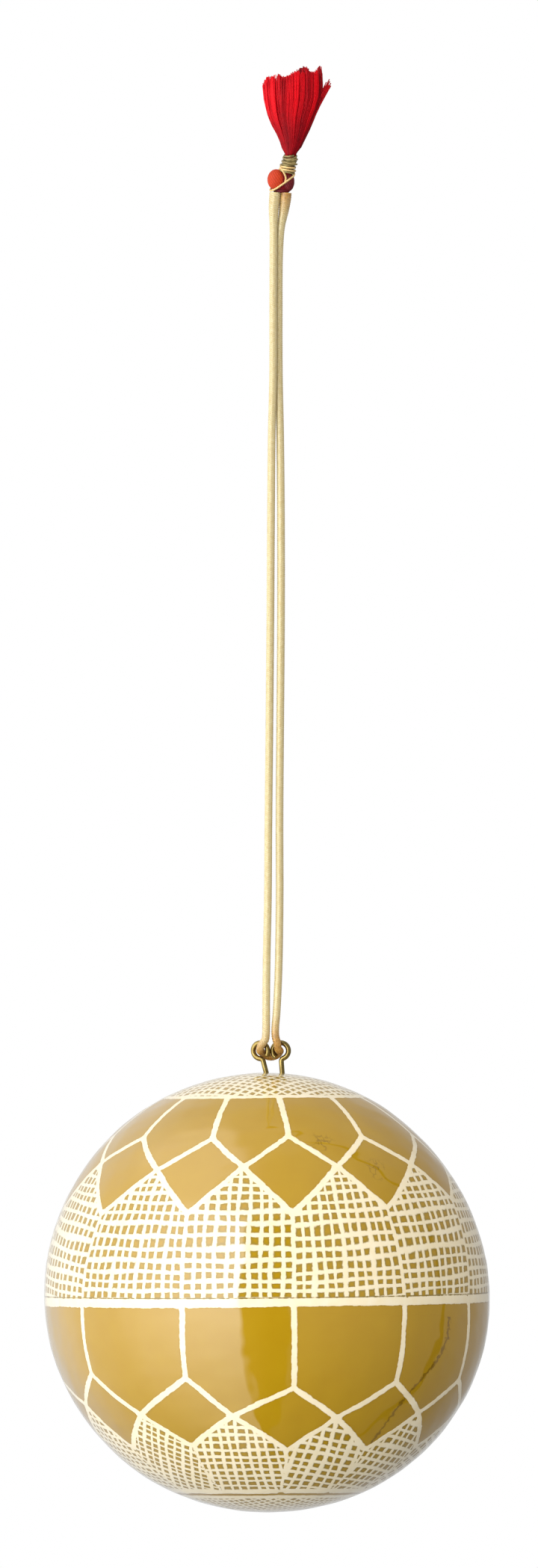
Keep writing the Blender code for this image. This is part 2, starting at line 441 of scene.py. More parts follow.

# %% [markdown]
# Every finished piece gets its material and the body that it rides on, and the plain solids that it
# takes the place of are hidden. Nothing here moves, so all of them ride on the one body, the root.

# %% Finishing a piece


def triangles(piece):
    return sum(len(face.vertices) - 2 for face in piece.data.polygons)


def finish_piece(piece, finish, slot, *nodes):
    """Gives a piece its material and its body, and hides the nodes that it stands for. The slot is not
    used.
    """
    piece.data.materials.clear()
    piece.data.materials.append(finish)
    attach(piece, "root")
    if nodes:
        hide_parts(*nodes)
    print(piece.name, "has", triangles(piece), "triangles")


# %% [markdown]
# ## The cord
# The hanger is one thin braided cord with metallic yarn. It starts under the tassel's head, runs
# down the left strand, through both wire eyes and back up the right strand. It could be eight
# separate yarns, but they would cut through each other at the tight bends. One tube with the braid
# as its relief keeps the true outline and the crossings, and it stays one measurable cord.

# %% The cord's line
CORD_STEPS = 60
CORD_DIAMETER = 0.0017
# Millimetres, from the knot down the left strand, through the eyes and up the right strand.
CORD_ROUTE = (
    (-0.80, -0.10, 0.78),
    (-0.90, -0.15, -0.6),
    (-1.10, -0.27, -3.2),
    (-1.08, -0.42, -7.0),
    (-1.05, -0.61, -13.0),
    (-0.95, -0.66, -27.0),
    (-0.83, -0.64, -40.0),
    (-1.00, -0.32, -54.0),
    (-0.98, 0.00, -70.0),
    (-0.87, 0.10, -93.8),
    (-0.82, 0.20, -120.7),
    (-0.80, 0.10, -143.0),
    (-0.75, 0.00, -158.0),
    (-0.88, -0.45, -172.0),
    (-0.88, -1.10, -181.0),
    (-0.84, -1.90, -186.2),
    (-0.86, -2.28, -188.6),
    (-1.03, -2.38, -189.77),
    (-1.84, -2.11, -190.95),
    (-2.15, -1.29, -191.88),
    (-2.06, -0.16, -192.32),
    (-1.74, 0.91, -192.56),
    (-1.36, 1.66, -192.99),
    (-0.32, 2.26, -193.51),
    (0.74, 2.27, -193.55),
    (1.78, 1.74, -193.09),
    (2.24, 0.88, -192.45),
    (2.27, -0.35, -192.18),
    (1.86, -1.42, -191.65),
    (1.70, -2.15, -190.5),
    (1.30, -2.40, -189.0),
    (1.24, -2.15, -187.0),
    (1.48, -1.60, -183.8),
    (1.82, -0.60, -174.0),
    (1.90, 0.00, -158.0),
    (1.68, 0.10, -140.0),
    (1.52, -0.10, -93.8),
    (1.24, 0.00, -70.0),
    (0.90, 0.32, -54.0),
    (0.47, 0.65, -40.0),
    (0.29, 0.68, -27.0),
    (0.25, 0.66, -13.0),
    (0.58, 0.46, -7.0),
    (1.20, 0.27, -3.2),
    (1.52, 0.12, -0.6),
    (1.60, 0.10, 0.78),
)
cord_line = smooth_line([Vector(point) * MM for point in CORD_ROUTE], CORD_STEPS)
cord_length = line_length(cord_line)
print("cord length", round(cord_length / MM, 1), "mm")

# %% [markdown]
# A round braid has two families of yarns that wind in opposite directions and pass over and under
# each other in turn. Whichever family lies on top at a place gives the height there. The same
# height is kept on the vertices, so that the material can paint shade into the gaps between the yarns.

# %% The cord's braid
BRAID_YARNS = 4
BRAID_PITCH = 0.50 * MM
BRAID_RELIEF = 0.10 * MM
BRAID_STEP = BRAID_PITCH / 4
CORD_SIDES = 24
# Both ends grow wider by this share towards the head that they are sewn into.
FLARE = 0.5
FLARE_LENGTH = 9.0 * MM
# How brown the yarn is, from rubbing and from painted shade, by millimetres along it: most in the eyes,
# and at its last end in the knot.
CORD_WEAR_AND_SHADE = (
    (0, 0.15), (6, 0.0), (182, 0.0), (189, 0.15), (191.5, 0.45), (193.5, 0.9), (198, 1.0), (204, 0.95),
    (207, 0.8), (209.5, 0.4), (212, 0.1), (216, 0.0), (391, 0.0), (394.5, 0.5), (397, 0.9),
)


def braid_height(along, around):
    """Height from 0 in a gap to 1 on a yarn's back, for one round braid."""
    right = BRAID_YARNS * around + along
    left = BRAID_YARNS * around - along
    on_top = (np.floor(right) + np.floor(left)) % 2 == 0
    return np.where(on_top, np.abs(np.sin(pi * right)), np.abs(np.sin(pi * left)))


def flared(points, i):
    """The width of the cord at a point, as a share of its width in the middle."""
    from_end = min(i, len(points) - 1 - i) * BRAID_STEP
    share = max(0.0, 1 - from_end / FLARE_LENGTH)
    return 1 + FLARE * share * share * (3 - 2 * share)


def make_cord():
    line = evenly(cord_line, BRAID_STEP)
    piece = tubes("cord_braid", [line], CORD_DIAMETER / 2, CORD_SIDES, flared)
    along, around = tube_places(piece.data)
    along = along * (cord_length / BRAID_PITCH)
    height = braid_height(along, around)
    raise_surface(piece.data, (height - 0.5) * BRAID_RELIEF)
    store(piece.data, "yarn_height", height)
    store(piece.data, "wear_and_shade", np.interp(along * BRAID_PITCH / MM, *zip(*CORD_WEAR_AND_SHADE)))
    close_ends(piece.data)
    return piece


cord = make_cord()
print("pitches of the braid along the cord:", round(cord_length / BRAID_PITCH))

# %% [markdown]
# The yarn is a metallic foil on a pale core: bright cream where the light catches it, tan as painted
# shade in the gaps, and brown where it has rubbed on the wire, which painted shade deepens in the eyes
# and in the knot. Full metal would only mirror the tent and turn grey, so the shader is a tenth metallic
# with a strong plain gloss. The core lets some light through to the shaded side, which subsurface
# scattering gives.

# %% The cord's finish
FOIL, FOIL_DEEP = linear(187, 178, 143), linear(166, 150, 104)
RUBBED_AND_SHADED, RUBBED_AND_SHADED_DEEP = linear(180, 130, 44), linear(116, 74, 16)
YARN_GAP_SHADE = linear(150, 130, 74)
# The gap's painted shade is strongest below the first of these heights and gone above the second.
GAP_FROM, GAP_TO = 0.05, 0.6
CORE_GLOW = (1.0, 0.92, 0.75)


def yarn_colour(tree, gap, foil, least):
    """A yarn with painted shade in its gaps, where its own colour keeps only the least share."""
    share = range_node(tree, stored_node(tree, "yarn_height"), GAP_FROM, GAP_TO, first=least)
    return mix_node(tree, share, gap, foil)


def gold_cord_finish():
    made, tree, shader = new_material(
        "gold_cord", Roughness=0.45, Metallic=0.1, Specular_IOR_Level=0.85, Subsurface_Weight=0.85,
        Subsurface_Scale=1.5 * MM, Subsurface_Radius=CORE_GLOW,
    )
    foil = add_mottle(tree, FOIL, FOIL_DEEP, grain=1400.0, contrast=1.6)
    # Brown from rubbing, deepened by painted shade where the cord passes the eyes and goes into the
    # knot.
    rubbed_and_shaded = add_mottle(tree, RUBBED_AND_SHADED, RUBBED_AND_SHADED_DEEP, grain=1100.0, contrast=1.8)
    yarn = mix_node(tree, stored_node(tree, "wear_and_shade"), foil, rubbed_and_shaded)
    tree.links.new(yarn_colour(tree, YARN_GAP_SHADE, yarn, 0.15), shader.inputs["Base Color"])
    return made


finish_piece(cord, gold_cord_finish(), "gold_cord", "cord")

# %% [markdown]
# ## The ball
# Pulp or paper is laid over a round mould, smoothed with gesso, painted and lacquered. It is never
# quite round: this one is fuller low on the right and flatter high on the right, and its skin has
# soft waves that make every reflection wander. A UV sphere would crowd its faces at the poles, so a
# subdivided cube is pushed out to a ball, with the tangent of each coordinate keeping faces even.

# %% The ball's shape
BALL_FACES_A_SIDE = 128
FLAT_UPPER_RIGHT = 0.034
# The waves of the skin: length and height in millimetres, and a seed for each.
SKIN_WAVES = ((30, 0.10, 3), (11, 0.030, 4), (5.5, 0.034, 5), (2.8, 0.006, 6))


def waves(points, length, seed, count=14):
    """A smooth random height at every point, mostly between -1 and 1, with waves of about a length."""
    rng = np.random.default_rng(seed)
    total = np.zeros(len(points))
    for _ in range(count):
        way = rng.normal(size=3)
        way /= np.linalg.norm(way)
        wave_number = 2 * pi / (length * rng.uniform(0.7, 1.4))
        total += np.sin(points @ way * wave_number + rng.uniform(0, 2 * pi))
    return total / (2 * count) ** 0.5


def rounded_cube():
    """Unit directions for a ball, with faces of nearly one size all over."""
    maker = bmesh.new()
    bmesh.ops.create_cube(maker, size=2)
    cuts = BALL_FACES_A_SIDE - 1
    bmesh.ops.subdivide_edges(maker, edges=maker.edges[:], cuts=cuts, use_grid_fill=True)
    mesh = mesh_of("ball_paper", maker)
    spread = np.tan(coordinates(mesh).astype(float) * pi / 4)
    return mesh, spread / np.linalg.norm(spread, axis=1)[:, None]


def make_ball():
    mesh, out = rounded_cube()
    right, up = out[:, 0], out[:, 2]
    flatness = FLAT_UPPER_RIGHT * np.clip(right, 0, 1) ** 2 * up
    skin = sum(waves(out * ball_radius, long * MM, seed) * high * MM for long, high, seed in SKIN_WAVES)
    size = np.array((ball_radius, ball_radius, ball_half_height))
    places = out * size * (1 - flatness)[:, None] + out * skin[:, None] + np.array(ball_middle)
    mesh.vertices.foreach_set("co", places.astype(np.float32).ravel())
    mesh.update()
    mesh.shade_smooth()
    return show("ball_paper", mesh), out


ball, ball_out = make_ball()
face_size = pi / 2 * ball_radius / BALL_FACES_A_SIDE
print("ball has", len(ball.data.polygons), "faces of about", round(face_size / MM, 2), "mm")

# %% [markdown]
# The painter divides the ball into twelve. From the top: a hatched cap, pointed gold cells, a
# row of gold diamonds, hatched cells like small houses, one broad line round the middle, then gold
# cells, diamonds and hatched cells again down to the foot. Every stroke joins two crossings, so the
# pattern is a list of crossings for each ring: those in front are given one for each
# stroke that shows, and the rest go round the back at even steps with a hand's small errors.

# %% The crossings
PATTERN_TILT = radians(1.14)
CELLS = 12
CAP_LATITUDE = 63.3
BAND_LATITUDE = -1.7
FOOT_LATITUDE = -63.2
UNDER_LATITUDE = -66.9
hand = Random(12)


def ring(*seen):
    """Twelve crossings (longitude, latitude) in degrees: those in front, then on round the back."""
    first, last = seen[0][0], seen[-1][0]
    hidden = CELLS - len(seen)
    step = (first + 360 - last) / (hidden + 1)
    level = sum(latitude for _, latitude in seen) / len(seen)
    made = list(seen)
    for i in range(1, hidden + 1):
        made.append((last + step * i + hand.uniform(-1, 1), level + hand.uniform(-0.7, 0.7)))
    return made


cap_feet = ring((-52.2, CAP_LATITUDE), (-21.5, CAP_LATITUDE), (7.9, CAP_LATITUDE), (40.5, CAP_LATITUDE))
upper_tops = ring((-51.0, 45.5), (-19.5, 45.1), (8.7, 46.0), (38.0, 45.5), (74.0, 46.5))
upper_sides = ring((-66.9, 37.0), (-35.9, 34.6), (-7.0, 35.6), (23.1, 35.6), (54.1, 36.3))
upper_feet = ring((-52.3, 21.7), (-22.3, 21.9), (7.3, 21.7), (36.1, 23.0), (67.8, 25.1))
band_feet = ring(*((longitude, BAND_LATITUDE) for longitude in (-55.9, -22.2, 6.8, 37.8, 64.5)))
lower_tops = ring((-57.3, -20.7), (-23.2, -21.7), (7.3, -24.5), (38.4, -23.4), (66.8, -23.2))
lower_sides = ring((-70.2, -30.0), (-42.0, -32.4), (-10.9, -32.8), (21.4, -33.6), (52.2, -32.4))
lower_feet = ring((-56.7, -44.0), (-27.5, -42.6), (6.8, -44.3), (36.6, -44.5), (64.5, -44.2))
print("crossings:", 8 * CELLS)


def direction(longitude, latitude):
    """Unit vectors for places in the pattern's frame, which leans a little to the left."""
    east, north = np.radians(longitude), np.radians(latitude)
    x, y, z = np.cos(north) * np.sin(east), -np.cos(north) * np.cos(east), np.sin(north)
    lean, upright = sin(PATTERN_TILT), cos(PATTERN_TILT)
    return np.stack((x * upright - z * lean, y, x * lean + z * upright), axis=-1)


def painted_place(out):
    """Longitude and latitude in the pattern's frame, in degrees, of unit vectors."""
    lean, upright = sin(PATTERN_TILT), cos(PATTERN_TILT)
    x = out[:, 0] * upright + out[:, 2] * lean
    z = out[:, 2] * upright - out[:, 0] * lean
    return np.degrees(np.arctan2(x, -out[:, 1])), np.degrees(np.arcsin(np.clip(z, -1, 1)))


# %% [markdown]
# A stroke is kept as close points along its middle, each with half the brush's width there. The
# brush swells and thins as it goes, and the line wanders a little. A curve object for each stroke
# would be slower and would have to be cut into the skin, while points can simply be searched.

# %% The brush
STROKE_STEP = 0.15 * MM
# Half the width of each brush: for outlines, for the hatching's borders, and for the lines right round.
BRUSH = 0.66 * MM
THIN_BRUSH = 0.50 * MM
BAND_BRUSH = 0.95 * MM
FOOT_BRUSH, UNDER_BRUSH = 1.2 * MM, 0.85 * MM
WANDER, WANDER_LENGTH = 0.12 * MM, 9 * MM
# The slow waves of a line right round: how many, where they start in degrees, and their share.
ROUND_WAVES = ((2, 40, 0.6), (5, 10, 0.4))
stroke_points = []
stroke_widths = []


def keep_stroke(points, half_width, swell, length, seed):
    """Keeps a stroke whose width swells by a share, over waves of a length."""
    stroke_points.append(points)
    stroke_widths.append(half_width * (1 + swell * waves(points, length, seed)))


def paint(start, end, half_width):
    """One stroke between two crossings."""
    longitude_gap = (end[0] - start[0] + 180) % 360 - 180
    rough = hypot(longitude_gap * cos(radians(start[1])), end[1] - start[1])
    share = np.linspace(0, 1, max(2, round(radians(rough) * ball_radius / STROKE_STEP)))
    longitude = start[0] + longitude_gap * share
    latitude = start[1] + (end[1] - start[1]) * share
    points = direction(longitude, latitude) * ball_radius
    points[:, 2] += waves(points, WANDER_LENGTH, seed=21) * WANDER
    points[:, 0] += waves(points, WANDER_LENGTH, seed=22) * WANDER
    keep_stroke(points, half_width, swell=0.10, length=6 * MM, seed=23)


def paint_round(latitude, half_width, wander=0.25):
    """A line right round the ball, that rises and falls by about some degrees."""
    count = round(2 * pi * ball_radius * cos(radians(latitude)) / STROKE_STEP)
    longitude = np.linspace(-180, 180, count)
    level = np.full(count, latitude)
    for times, start, share in ROUND_WAVES:
        level += wander * np.sin(np.radians(longitude * times + start)) * share
    points = direction(longitude, level) * ball_radius
    keep_stroke(points, half_width, swell=0.06, length=8 * MM, seed=24)


print("an outline is", round(2 * BRUSH / MM, 2), "mm wide")

# %% [markdown]
# Now the strokes themselves, cell by cell from the cap to the foot, and then the lines right round,
# which the painter draws last. A cell's side crossings belong to two cells, so each cell joins its own
# and the next one's.

# %% All the strokes
for k in range(CELLS):
    after = (k + 1) % CELLS
    paint(cap_feet[k], upper_tops[k], BRUSH)
    paint(upper_tops[k], upper_sides[k], BRUSH)
    paint(upper_tops[k], upper_sides[after], BRUSH)
    paint(upper_sides[k], upper_feet[k], BRUSH)
    paint(upper_sides[after], upper_feet[k], BRUSH)
    paint(upper_feet[k], band_feet[k], THIN_BRUSH)
    paint(band_feet[k], lower_tops[k], BRUSH)
    paint(lower_tops[k], lower_sides[k], BRUSH)
    paint(lower_tops[k], lower_sides[after], BRUSH)
    paint(lower_sides[k], lower_feet[k], BRUSH)
    paint(lower_sides[after], lower_feet[k], BRUSH)
    paint(lower_feet[k], (lower_feet[k][0], FOOT_LATITUDE), THIN_BRUSH * 0.7)
paint_round(CAP_LATITUDE, BRUSH)
paint_round(BAND_LATITUDE, BAND_BRUSH, wander=0.12)
paint_round(FOOT_LATITUDE, FOOT_BRUSH)
paint_round(UNDER_LATITUDE, UNDER_BRUSH)
print("strokes:", len(stroke_points), "points:", sum(len(p) for p in stroke_points))

# %% [markdown]
# Every vertex of the ball is asked how far it is from the edge of the nearest stroke, which is the
# number that the paint needs. A k-d tree finds the nearest of many points quickly. Two more numbers
# say how far a vertex is above the band, and how far beside the fine crack in the old lacquer.

# %% Distances on the ball
# Millimetres above the ball's middle and to the right of it, up the crack.
CRACK = (
    (-32.9, 23.4), (-27.3, 27.3), (-22.4, 30.8), (-19.1, 33.7), (-15.8, 36.6), (-12.5, 38.9),
    (-9.2, 40.2), (-4.0, 40.8),
)
# The crack climbs at a slant, so the distance straight across is more than the nearest one.
CRACK_SLANT = 0.75
NO_CRACK = 9.0


def edge_distance(out):
    """Distance in millimetres from each vertex to the nearest stroke's edge, negative inside it."""
    points = np.concatenate(stroke_points)
    widths = np.concatenate(stroke_widths)
    tree = KDTree(len(points))
    for i, point in enumerate(points):
        tree.insert(point, i)
    tree.balance()
    distance = np.zeros(len(out))
    for i, place in enumerate(out * ball_radius):
        _, nearest, gap = tree.find(place)
        distance[i] = (gap - widths[nearest]) / MM
    return distance


def line_distance(out, latitude):
    """Distance in millimetres above a line right round the ball."""
    _, seen = painted_place(out)
    return (seen - latitude) * radians(1) * ball_radius / MM


def crack_offset(out):
    """How far right of the fine crack on the right side each vertex is, in millimetres."""
    across, up = out[:, 0] * ball_radius / MM, out[:, 2] * ball_half_height / MM
    off = (across - np.interp(up, *zip(*CRACK))) * CRACK_SLANT
    beyond = (out[:, 1] > 0) | (up < CRACK[0][0]) | (up > CRACK[-1][0])
    return np.where(beyond, NO_CRACK, off)


stroke_edge = edge_distance(ball_out)
store(ball.data, "crack_offset", crack_offset(ball_out))
store(ball.data, "stroke_edge", stroke_edge)
store(ball.data, "above_band", line_distance(ball_out, BAND_LATITUDE))
print("share of the ball under a stroke:", round(float((stroke_edge < 0).mean()), 2))

# %% [markdown]
# The hatching is many thin crossing strokes. Drawn as data it would need thousands of lines, so each
# face instead carries how many strokes across and how many down it lies, in its own cell's slant and
# spacing. That is a UV map. First come the borders of the cells: a zigzag through the crossings above
# and below, and the stroke on each side.

# %% The hatched cells
MM_PER_DEGREE = radians(1) * ball_radius / MM


def zigzag(longitude, *rings):
    """Latitude of the zigzag line through the crossings of some rings, at the given longitudes."""
    points = sorted((x % 360, y) for each in rings for x, y in each)
    return np.interp(longitude % 360, *zip(*points), period=360)


def border(k, latitude):
    """Longitude of the stroke on the left of each house k, at the given latitudes."""
    top, foot = np.array(upper_feet)[k % CELLS].T, np.array(band_feet)[k % CELLS].T
    share = np.clip((top[1] - latitude) / (top[1] - foot[1]), 0, 1)
    return top[0] + ((foot[0] - top[0] + 180) % 360 - 180) * share


def cell_of(longitude, start):
    """Which of the twelve cells each place lies in. start gives a cell's left border."""
    index = np.zeros(len(longitude), int)
    for k in range(CELLS):
        left, right = start(k), start(k + 1)
        index[(longitude - left) % 360 < (right - left) % 360] = k
    return index


print("one degree round the ball is", round(MM_PER_DEGREE, 2), "mm")

# %% [markdown]
# The strokes of the houses rise a little to one side or the other. Under the foot diamonds each cell
# has a slant and a spacing of its own. Those in front are chosen, the rest fall by chance, and over
# both poles one slanted grid is laid flat.

# %% The hatching's slant and spacing
# Spacings are millimetres.
HOUSE_COLUMN = 2.42
HOUSE_ROW = 2.47
# The columns draw together towards the top by this power of the latitude's cosine.
COLUMN_FAN = 0.3
# The first row, and how far the rows sway: by this share of a row, over this length, from this height.
FIRST_ROW = 0.79
ROW_SWAY, SWAY_LENGTH, SWAY_FROM = 0.30, 26, 2.2
FOOT_MIDDLE = -52
CAP_PITCH, FOOT_PITCH = 1.9, 1.6
POLE_SLANT = 38
# How much each house's rows rise to the right.
house_rise = [hand.uniform(-0.06, 0.06) for _ in range(CELLS)]
house_rise[11], house_rise[0], house_rise[1] = -0.10, -0.01, 0.0
house_rise[2], house_rise[3], house_rise[4] = 0.05, 0.06, 0.02
# Below the foot diamonds: column pitch, row pitch, lean of the columns and fall of the rows.
foot_hatch = [(2.2, 2.3, hand.uniform(0, 0.3), hand.uniform(-0.3, 0.3)) for _ in range(CELLS)]
foot_hatch[11], foot_hatch[0] = (2.0, 2.0, 0.3, 0.3), (2.2, 2.2, 0.58, 0.58)
foot_hatch[1], foot_hatch[2] = (2.05, 2.3, 0.0, 0.0), (2.5, 2.5, 0.0, 0.23)
foot_hatch[3] = (2.3, 2.45, 0.0, 0.20)
print("rows rise to the right by", [round(rise, 2) for rise in house_rise])

# %% [markdown]
# Each kind of cell turns a place into stroke numbers in its own way. Strokes that are drawn one by one
# are never quite even, so a few slow waves, different from cell to cell, push the numbers about.

# %% The grids
# The waves of a hand's error: size, times along u and along v, and how much they turn from cell to cell.
ERROR_ACROSS = ((0.06, 2.3, 0, 2), (0.04, 4.1, 0, 1), (0.06, 1.7, 0.8, 5))
ERROR_DOWN = ((0.06, 0, 2.1, 3), (0.04, 0, 4.3, 1), (0.06, 0.7, 1.5, 4))


def house_grid(k, longitude, latitude):
    """Columns follow the strokes beside them. Rows are close at the foot and wider half way up."""
    left = border(k, latitude)
    width = (border(k + 1, latitude) - left) % 360
    across = ((longitude - left + 180) % 360 - 180) / width
    feet = np.array(band_feet)[:, 0]
    columns = np.round((feet[(k + 1) % CELLS] - feet[k]) % 360 * MM_PER_DEGREE / HOUSE_COLUMN)
    up = (latitude - BAND_LATITUDE) * MM_PER_DEGREE
    rise = np.array(house_rise)[k] * (across - 0.5) * width * MM_PER_DEGREE
    u = columns * (0.5 + (across - 0.5) * np.cos(np.radians(latitude)) ** COLUMN_FAN)
    sway = ROW_SWAY * np.sin(2 * pi * (up - SWAY_FROM) / SWAY_LENGTH)
    return u, (up - rise) / HOUSE_ROW + FIRST_ROW + sway


def foot_grid(k, longitude, latitude):
    """Straight rows and columns round the middle of each cell under the foot diamonds."""
    left = np.array(lower_feet)[k % CELLS, 0]
    right = np.array(lower_feet)[(k + 1) % CELLS, 0]
    middle = left + (right - left) % 360 / 2
    across = ((longitude - middle + 180) % 360 - 180) * np.cos(np.radians(latitude)) * MM_PER_DEGREE
    up = (latitude - FOOT_MIDDLE) * MM_PER_DEGREE
    column, row, lean, fall = np.array(foot_hatch)[k].T
    return (across - lean * up) / column, (up + fall * across) / row


def pole_grid(longitude, latitude, pitch):
    """A slanted grid laid flat over a pole."""
    reach = np.cos(np.radians(latitude)) * ball_radius / MM / pitch
    slant = np.radians(longitude + POLE_SLANT)
    return reach * np.sin(slant), reach * np.cos(slant)


def by_hand(u, v, k):
    """Hatch coordinates with the small errors of strokes that are drawn one by one."""
    off_u, off_v = (
        sum(size * np.sin(by_u * u + by_v * v + turn * k) for size, by_u, by_v, turn in errors)
        for errors in (ERROR_ACROSS, ERROR_DOWN)
    )
    return u + off_u, v + off_v


most = sum(size for size, *_ in ERROR_ACROSS)
print("a stroke is out of its place by at most", round(most, 2), "of the spacing")

# %% [markdown]
# Now every face of the ball is sorted into its cell and its corners get their stroke numbers. The
# paint falls wherever either number is near a whole one. Gold cells get one half for both, which no
# stroke reaches.

# %% The hatch map
NO_STROKE = 0.5


def map_hatching(mesh, out):
    """Stores the hatch coordinates as a UV map, face by face, and returns how many faces have any."""
    corners = corner_vertices(mesh)
    face_out = out[corners].reshape(-1, 4, 3).mean(axis=1)
    east, north = painted_place(face_out / np.linalg.norm(face_out, axis=1)[:, None])
    longitude, latitude = painted_place(out[corners])
    houses = (north > BAND_LATITUDE) & (north < zigzag(east, upper_sides, upper_feet))
    foot = (north < zigzag(east, lower_sides, lower_feet)) & (north > FOOT_LATITUDE)
    house_cell = cell_of(east, lambda k: border(k, north))
    foot_cell = cell_of(east, lambda k: lower_feet[k % CELLS][0])
    pole_cell = 0 * foot_cell
    grid = np.full((len(corners), 2), NO_STROKE)
    for where, cell, measure in (
        (houses, house_cell, house_grid),
        (foot, foot_cell, foot_grid),
        (north > CAP_LATITUDE, pole_cell, lambda k, x, y: pole_grid(x, y, CAP_PITCH)),
        (north < UNDER_LATITUDE, pole_cell, lambda k, x, y: pole_grid(x, y, FOOT_PITCH)),
    ):
        chosen = np.repeat(where, 4)
        k = np.repeat(cell, 4)[chosen]
        u, v = measure(k, longitude[chosen], latitude[chosen])
        grid[chosen] = np.stack(by_hand(u, v, k), axis=-1)
    layer = mesh.uv_layers.new(name="hatch_grid")
    layer.data.foreach_set("uv", grid.astype(np.float32).ravel())
    return int((grid.reshape(-1, 4, 2).mean(axis=(1, 2)) != NO_STROKE).sum())


print("hatched faces:", map_hatching(ball.data, ball_out))

# %% [markdown]
# Where is there paint? A stroke covers what lies within its half width, with a soft edge, in the
# hatching's numbers as well as in millimetres. A fine noise makes every edge unsure, as a dry hair of
# the brush does, and a coarse one presses the brush harder here and lighter there.

# %% Where the cream paint lies
HATCH_HALF_WIDTH = 0.19
HATCH_SOFTNESS = 0.06
# Beside a hatched stroke the ground gets painted shade, out to about this far from its middle.
HATCH_SHADE, HATCH_SHADE_SOFTNESS = 0.32, 0.12
# How much the fine noise and the coarse one move a hatched stroke's edge, in shares of the spacing.
HATCH_UNSURE, HATCH_PRESSURE = 0.22, 0.13
# The same for the fine noise at the outlines, in millimetres, and how soft their edges are.
OUTLINE_UNSURE, OUTLINE_SOFTNESS = 0.5, 0.09
# Millimetres above the middle of the band, where a thin line stays bare.
BARE_LINE = 1.12
BARE_HALF_WIDTH, BARE_SOFTNESS = 0.11, 0.10


def near_stroke(tree, place, half_width, softness):
    """1 within a stroke's half width and 0 outside, with a soft edge."""
    return range_node(tree, place, half_width - softness, half_width + softness, 1, 0, "SMOOTHSTEP")


def off_centre(tree, value, centre):
    """How far a number is from a centre, on either side."""
    return math_node(tree, "ABSOLUTE", math_node(tree, "SUBTRACT", value, centre))


def hatch_masks(tree, unsure, pressure):
    """Where the hatching's strokes are, and where painted shade darkens the ground beside them."""
    grid = add_node(tree, "UVMap", uv_map="hatch_grid")
    split = add_node(tree, "SeparateXYZ")
    tree.links.new(grid.outputs["UV"], split.inputs["Vector"])
    strokes, shades = [], []
    for axis in ("X", "Y"):
        gap = math_node(tree, "PINGPONG", split.outputs[axis], 0.5)
        gap = math_node(tree, "MULTIPLY_ADD", unsure, HATCH_UNSURE, gap)
        gap = math_node(tree, "MULTIPLY_ADD", pressure, HATCH_PRESSURE, gap)
        strokes.append(near_stroke(tree, gap, HATCH_HALF_WIDTH, HATCH_SOFTNESS))
        shades.append(near_stroke(tree, gap, HATCH_SHADE, HATCH_SHADE_SOFTNESS))
    return math_node(tree, "MAXIMUM", *strokes), math_node(tree, "MAXIMUM", *shades)


def paint_masks(tree, unsure, hatch):
    """Where any cream paint is, and where the thin line above the band is left bare."""
    edge = math_node(tree, "MULTIPLY_ADD", unsure, OUTLINE_UNSURE, stored_node(tree, "stroke_edge"))
    painted = math_node(tree, "MAXIMUM", hatch, near_stroke(tree, edge, 0.0, OUTLINE_SOFTNESS))
    # The band is painted after the hatching, and its brush doesn't quite reach the last row.
    off = off_centre(tree, stored_node(tree, "above_band"), BARE_LINE)
    off = math_node(tree, "MULTIPLY_ADD", unsure, OUTLINE_UNSURE, off)
    bare = near_stroke(tree, off, BARE_HALF_WIDTH, BARE_SOFTNESS)
    return math_node(tree, "MULTIPLY", painted, math_node(tree, "SUBTRACT", 1.0, bare)), bare


print("a stroke of the houses is", round(2 * HATCH_HALF_WIDTH * HOUSE_ROW, 2), "mm wide")

# %% [markdown]
# The old lacquer is crazed. One long fine crack runs up the right side, and in two spots there are
# small squiggles. A squiggle is where a noise crosses its own middle value, which is always a line.

# %% The lacquer's marks
# Millimetres from the ball's middle.
CRAZED_SPOTS = ((12.0, -34.2, 34.4), (24.4, -33.0, 28.5))
SPOT_RADIUS, SPOT_SOFTNESS = 2.4 * MM, 1.6 * MM
CRACK_UNSURE, CRACK_HALF_WIDTH, CRACK_SOFTNESS = 1.3, 0.19, 0.17
SQUIGGLE_GRAIN, SQUIGGLE_HALF_WIDTH, SQUIGGLE_SOFTNESS = 420.0, 0.022, 0.020
CRACK_STRENGTH, CRAZE_STRENGTH = 0.65, 0.55


def lacquer_marks(tree, unsure):
    """How brown the lacquer's cracks make each place."""
    off = math_node(tree, "MULTIPLY_ADD", unsure, CRACK_UNSURE, stored_node(tree, "crack_offset"))
    crack = near_stroke(tree, math_node(tree, "ABSOLUTE", off), CRACK_HALF_WIDTH, CRACK_SOFTNESS)
    off = off_centre(tree, noise_node(tree, SQUIGGLE_GRAIN, detail=2.0), 0.5)
    squiggle = near_stroke(tree, off, SQUIGGLE_HALF_WIDTH, SQUIGGLE_SOFTNESS)
    place = add_node(tree, "TexCoord")
    spots = []
    for spot in CRAZED_SPOTS:
        gap = add_node(tree, "VectorMath", operation="DISTANCE")
        feed(tree, gap, {0: place.outputs["Object"], 1: ball_middle + Vector(spot) * MM})
        spots.append(near_stroke(tree, gap.outputs["Value"], SPOT_RADIUS, SPOT_SOFTNESS))
    crazed = math_node(tree, "MULTIPLY", squiggle, math_node(tree, "MAXIMUM", *spots))
    crack = math_node(tree, "MULTIPLY", crack, CRACK_STRENGTH)
    return math_node(tree, "MAXIMUM", crack, math_node(tree, "MULTIPLY", crazed, CRAZE_STRENGTH))


print("the crack is", round(CRACK[-1][0] - CRACK[0][0]), "mm high, and crazed spots:", len(CRAZED_SPOTS))
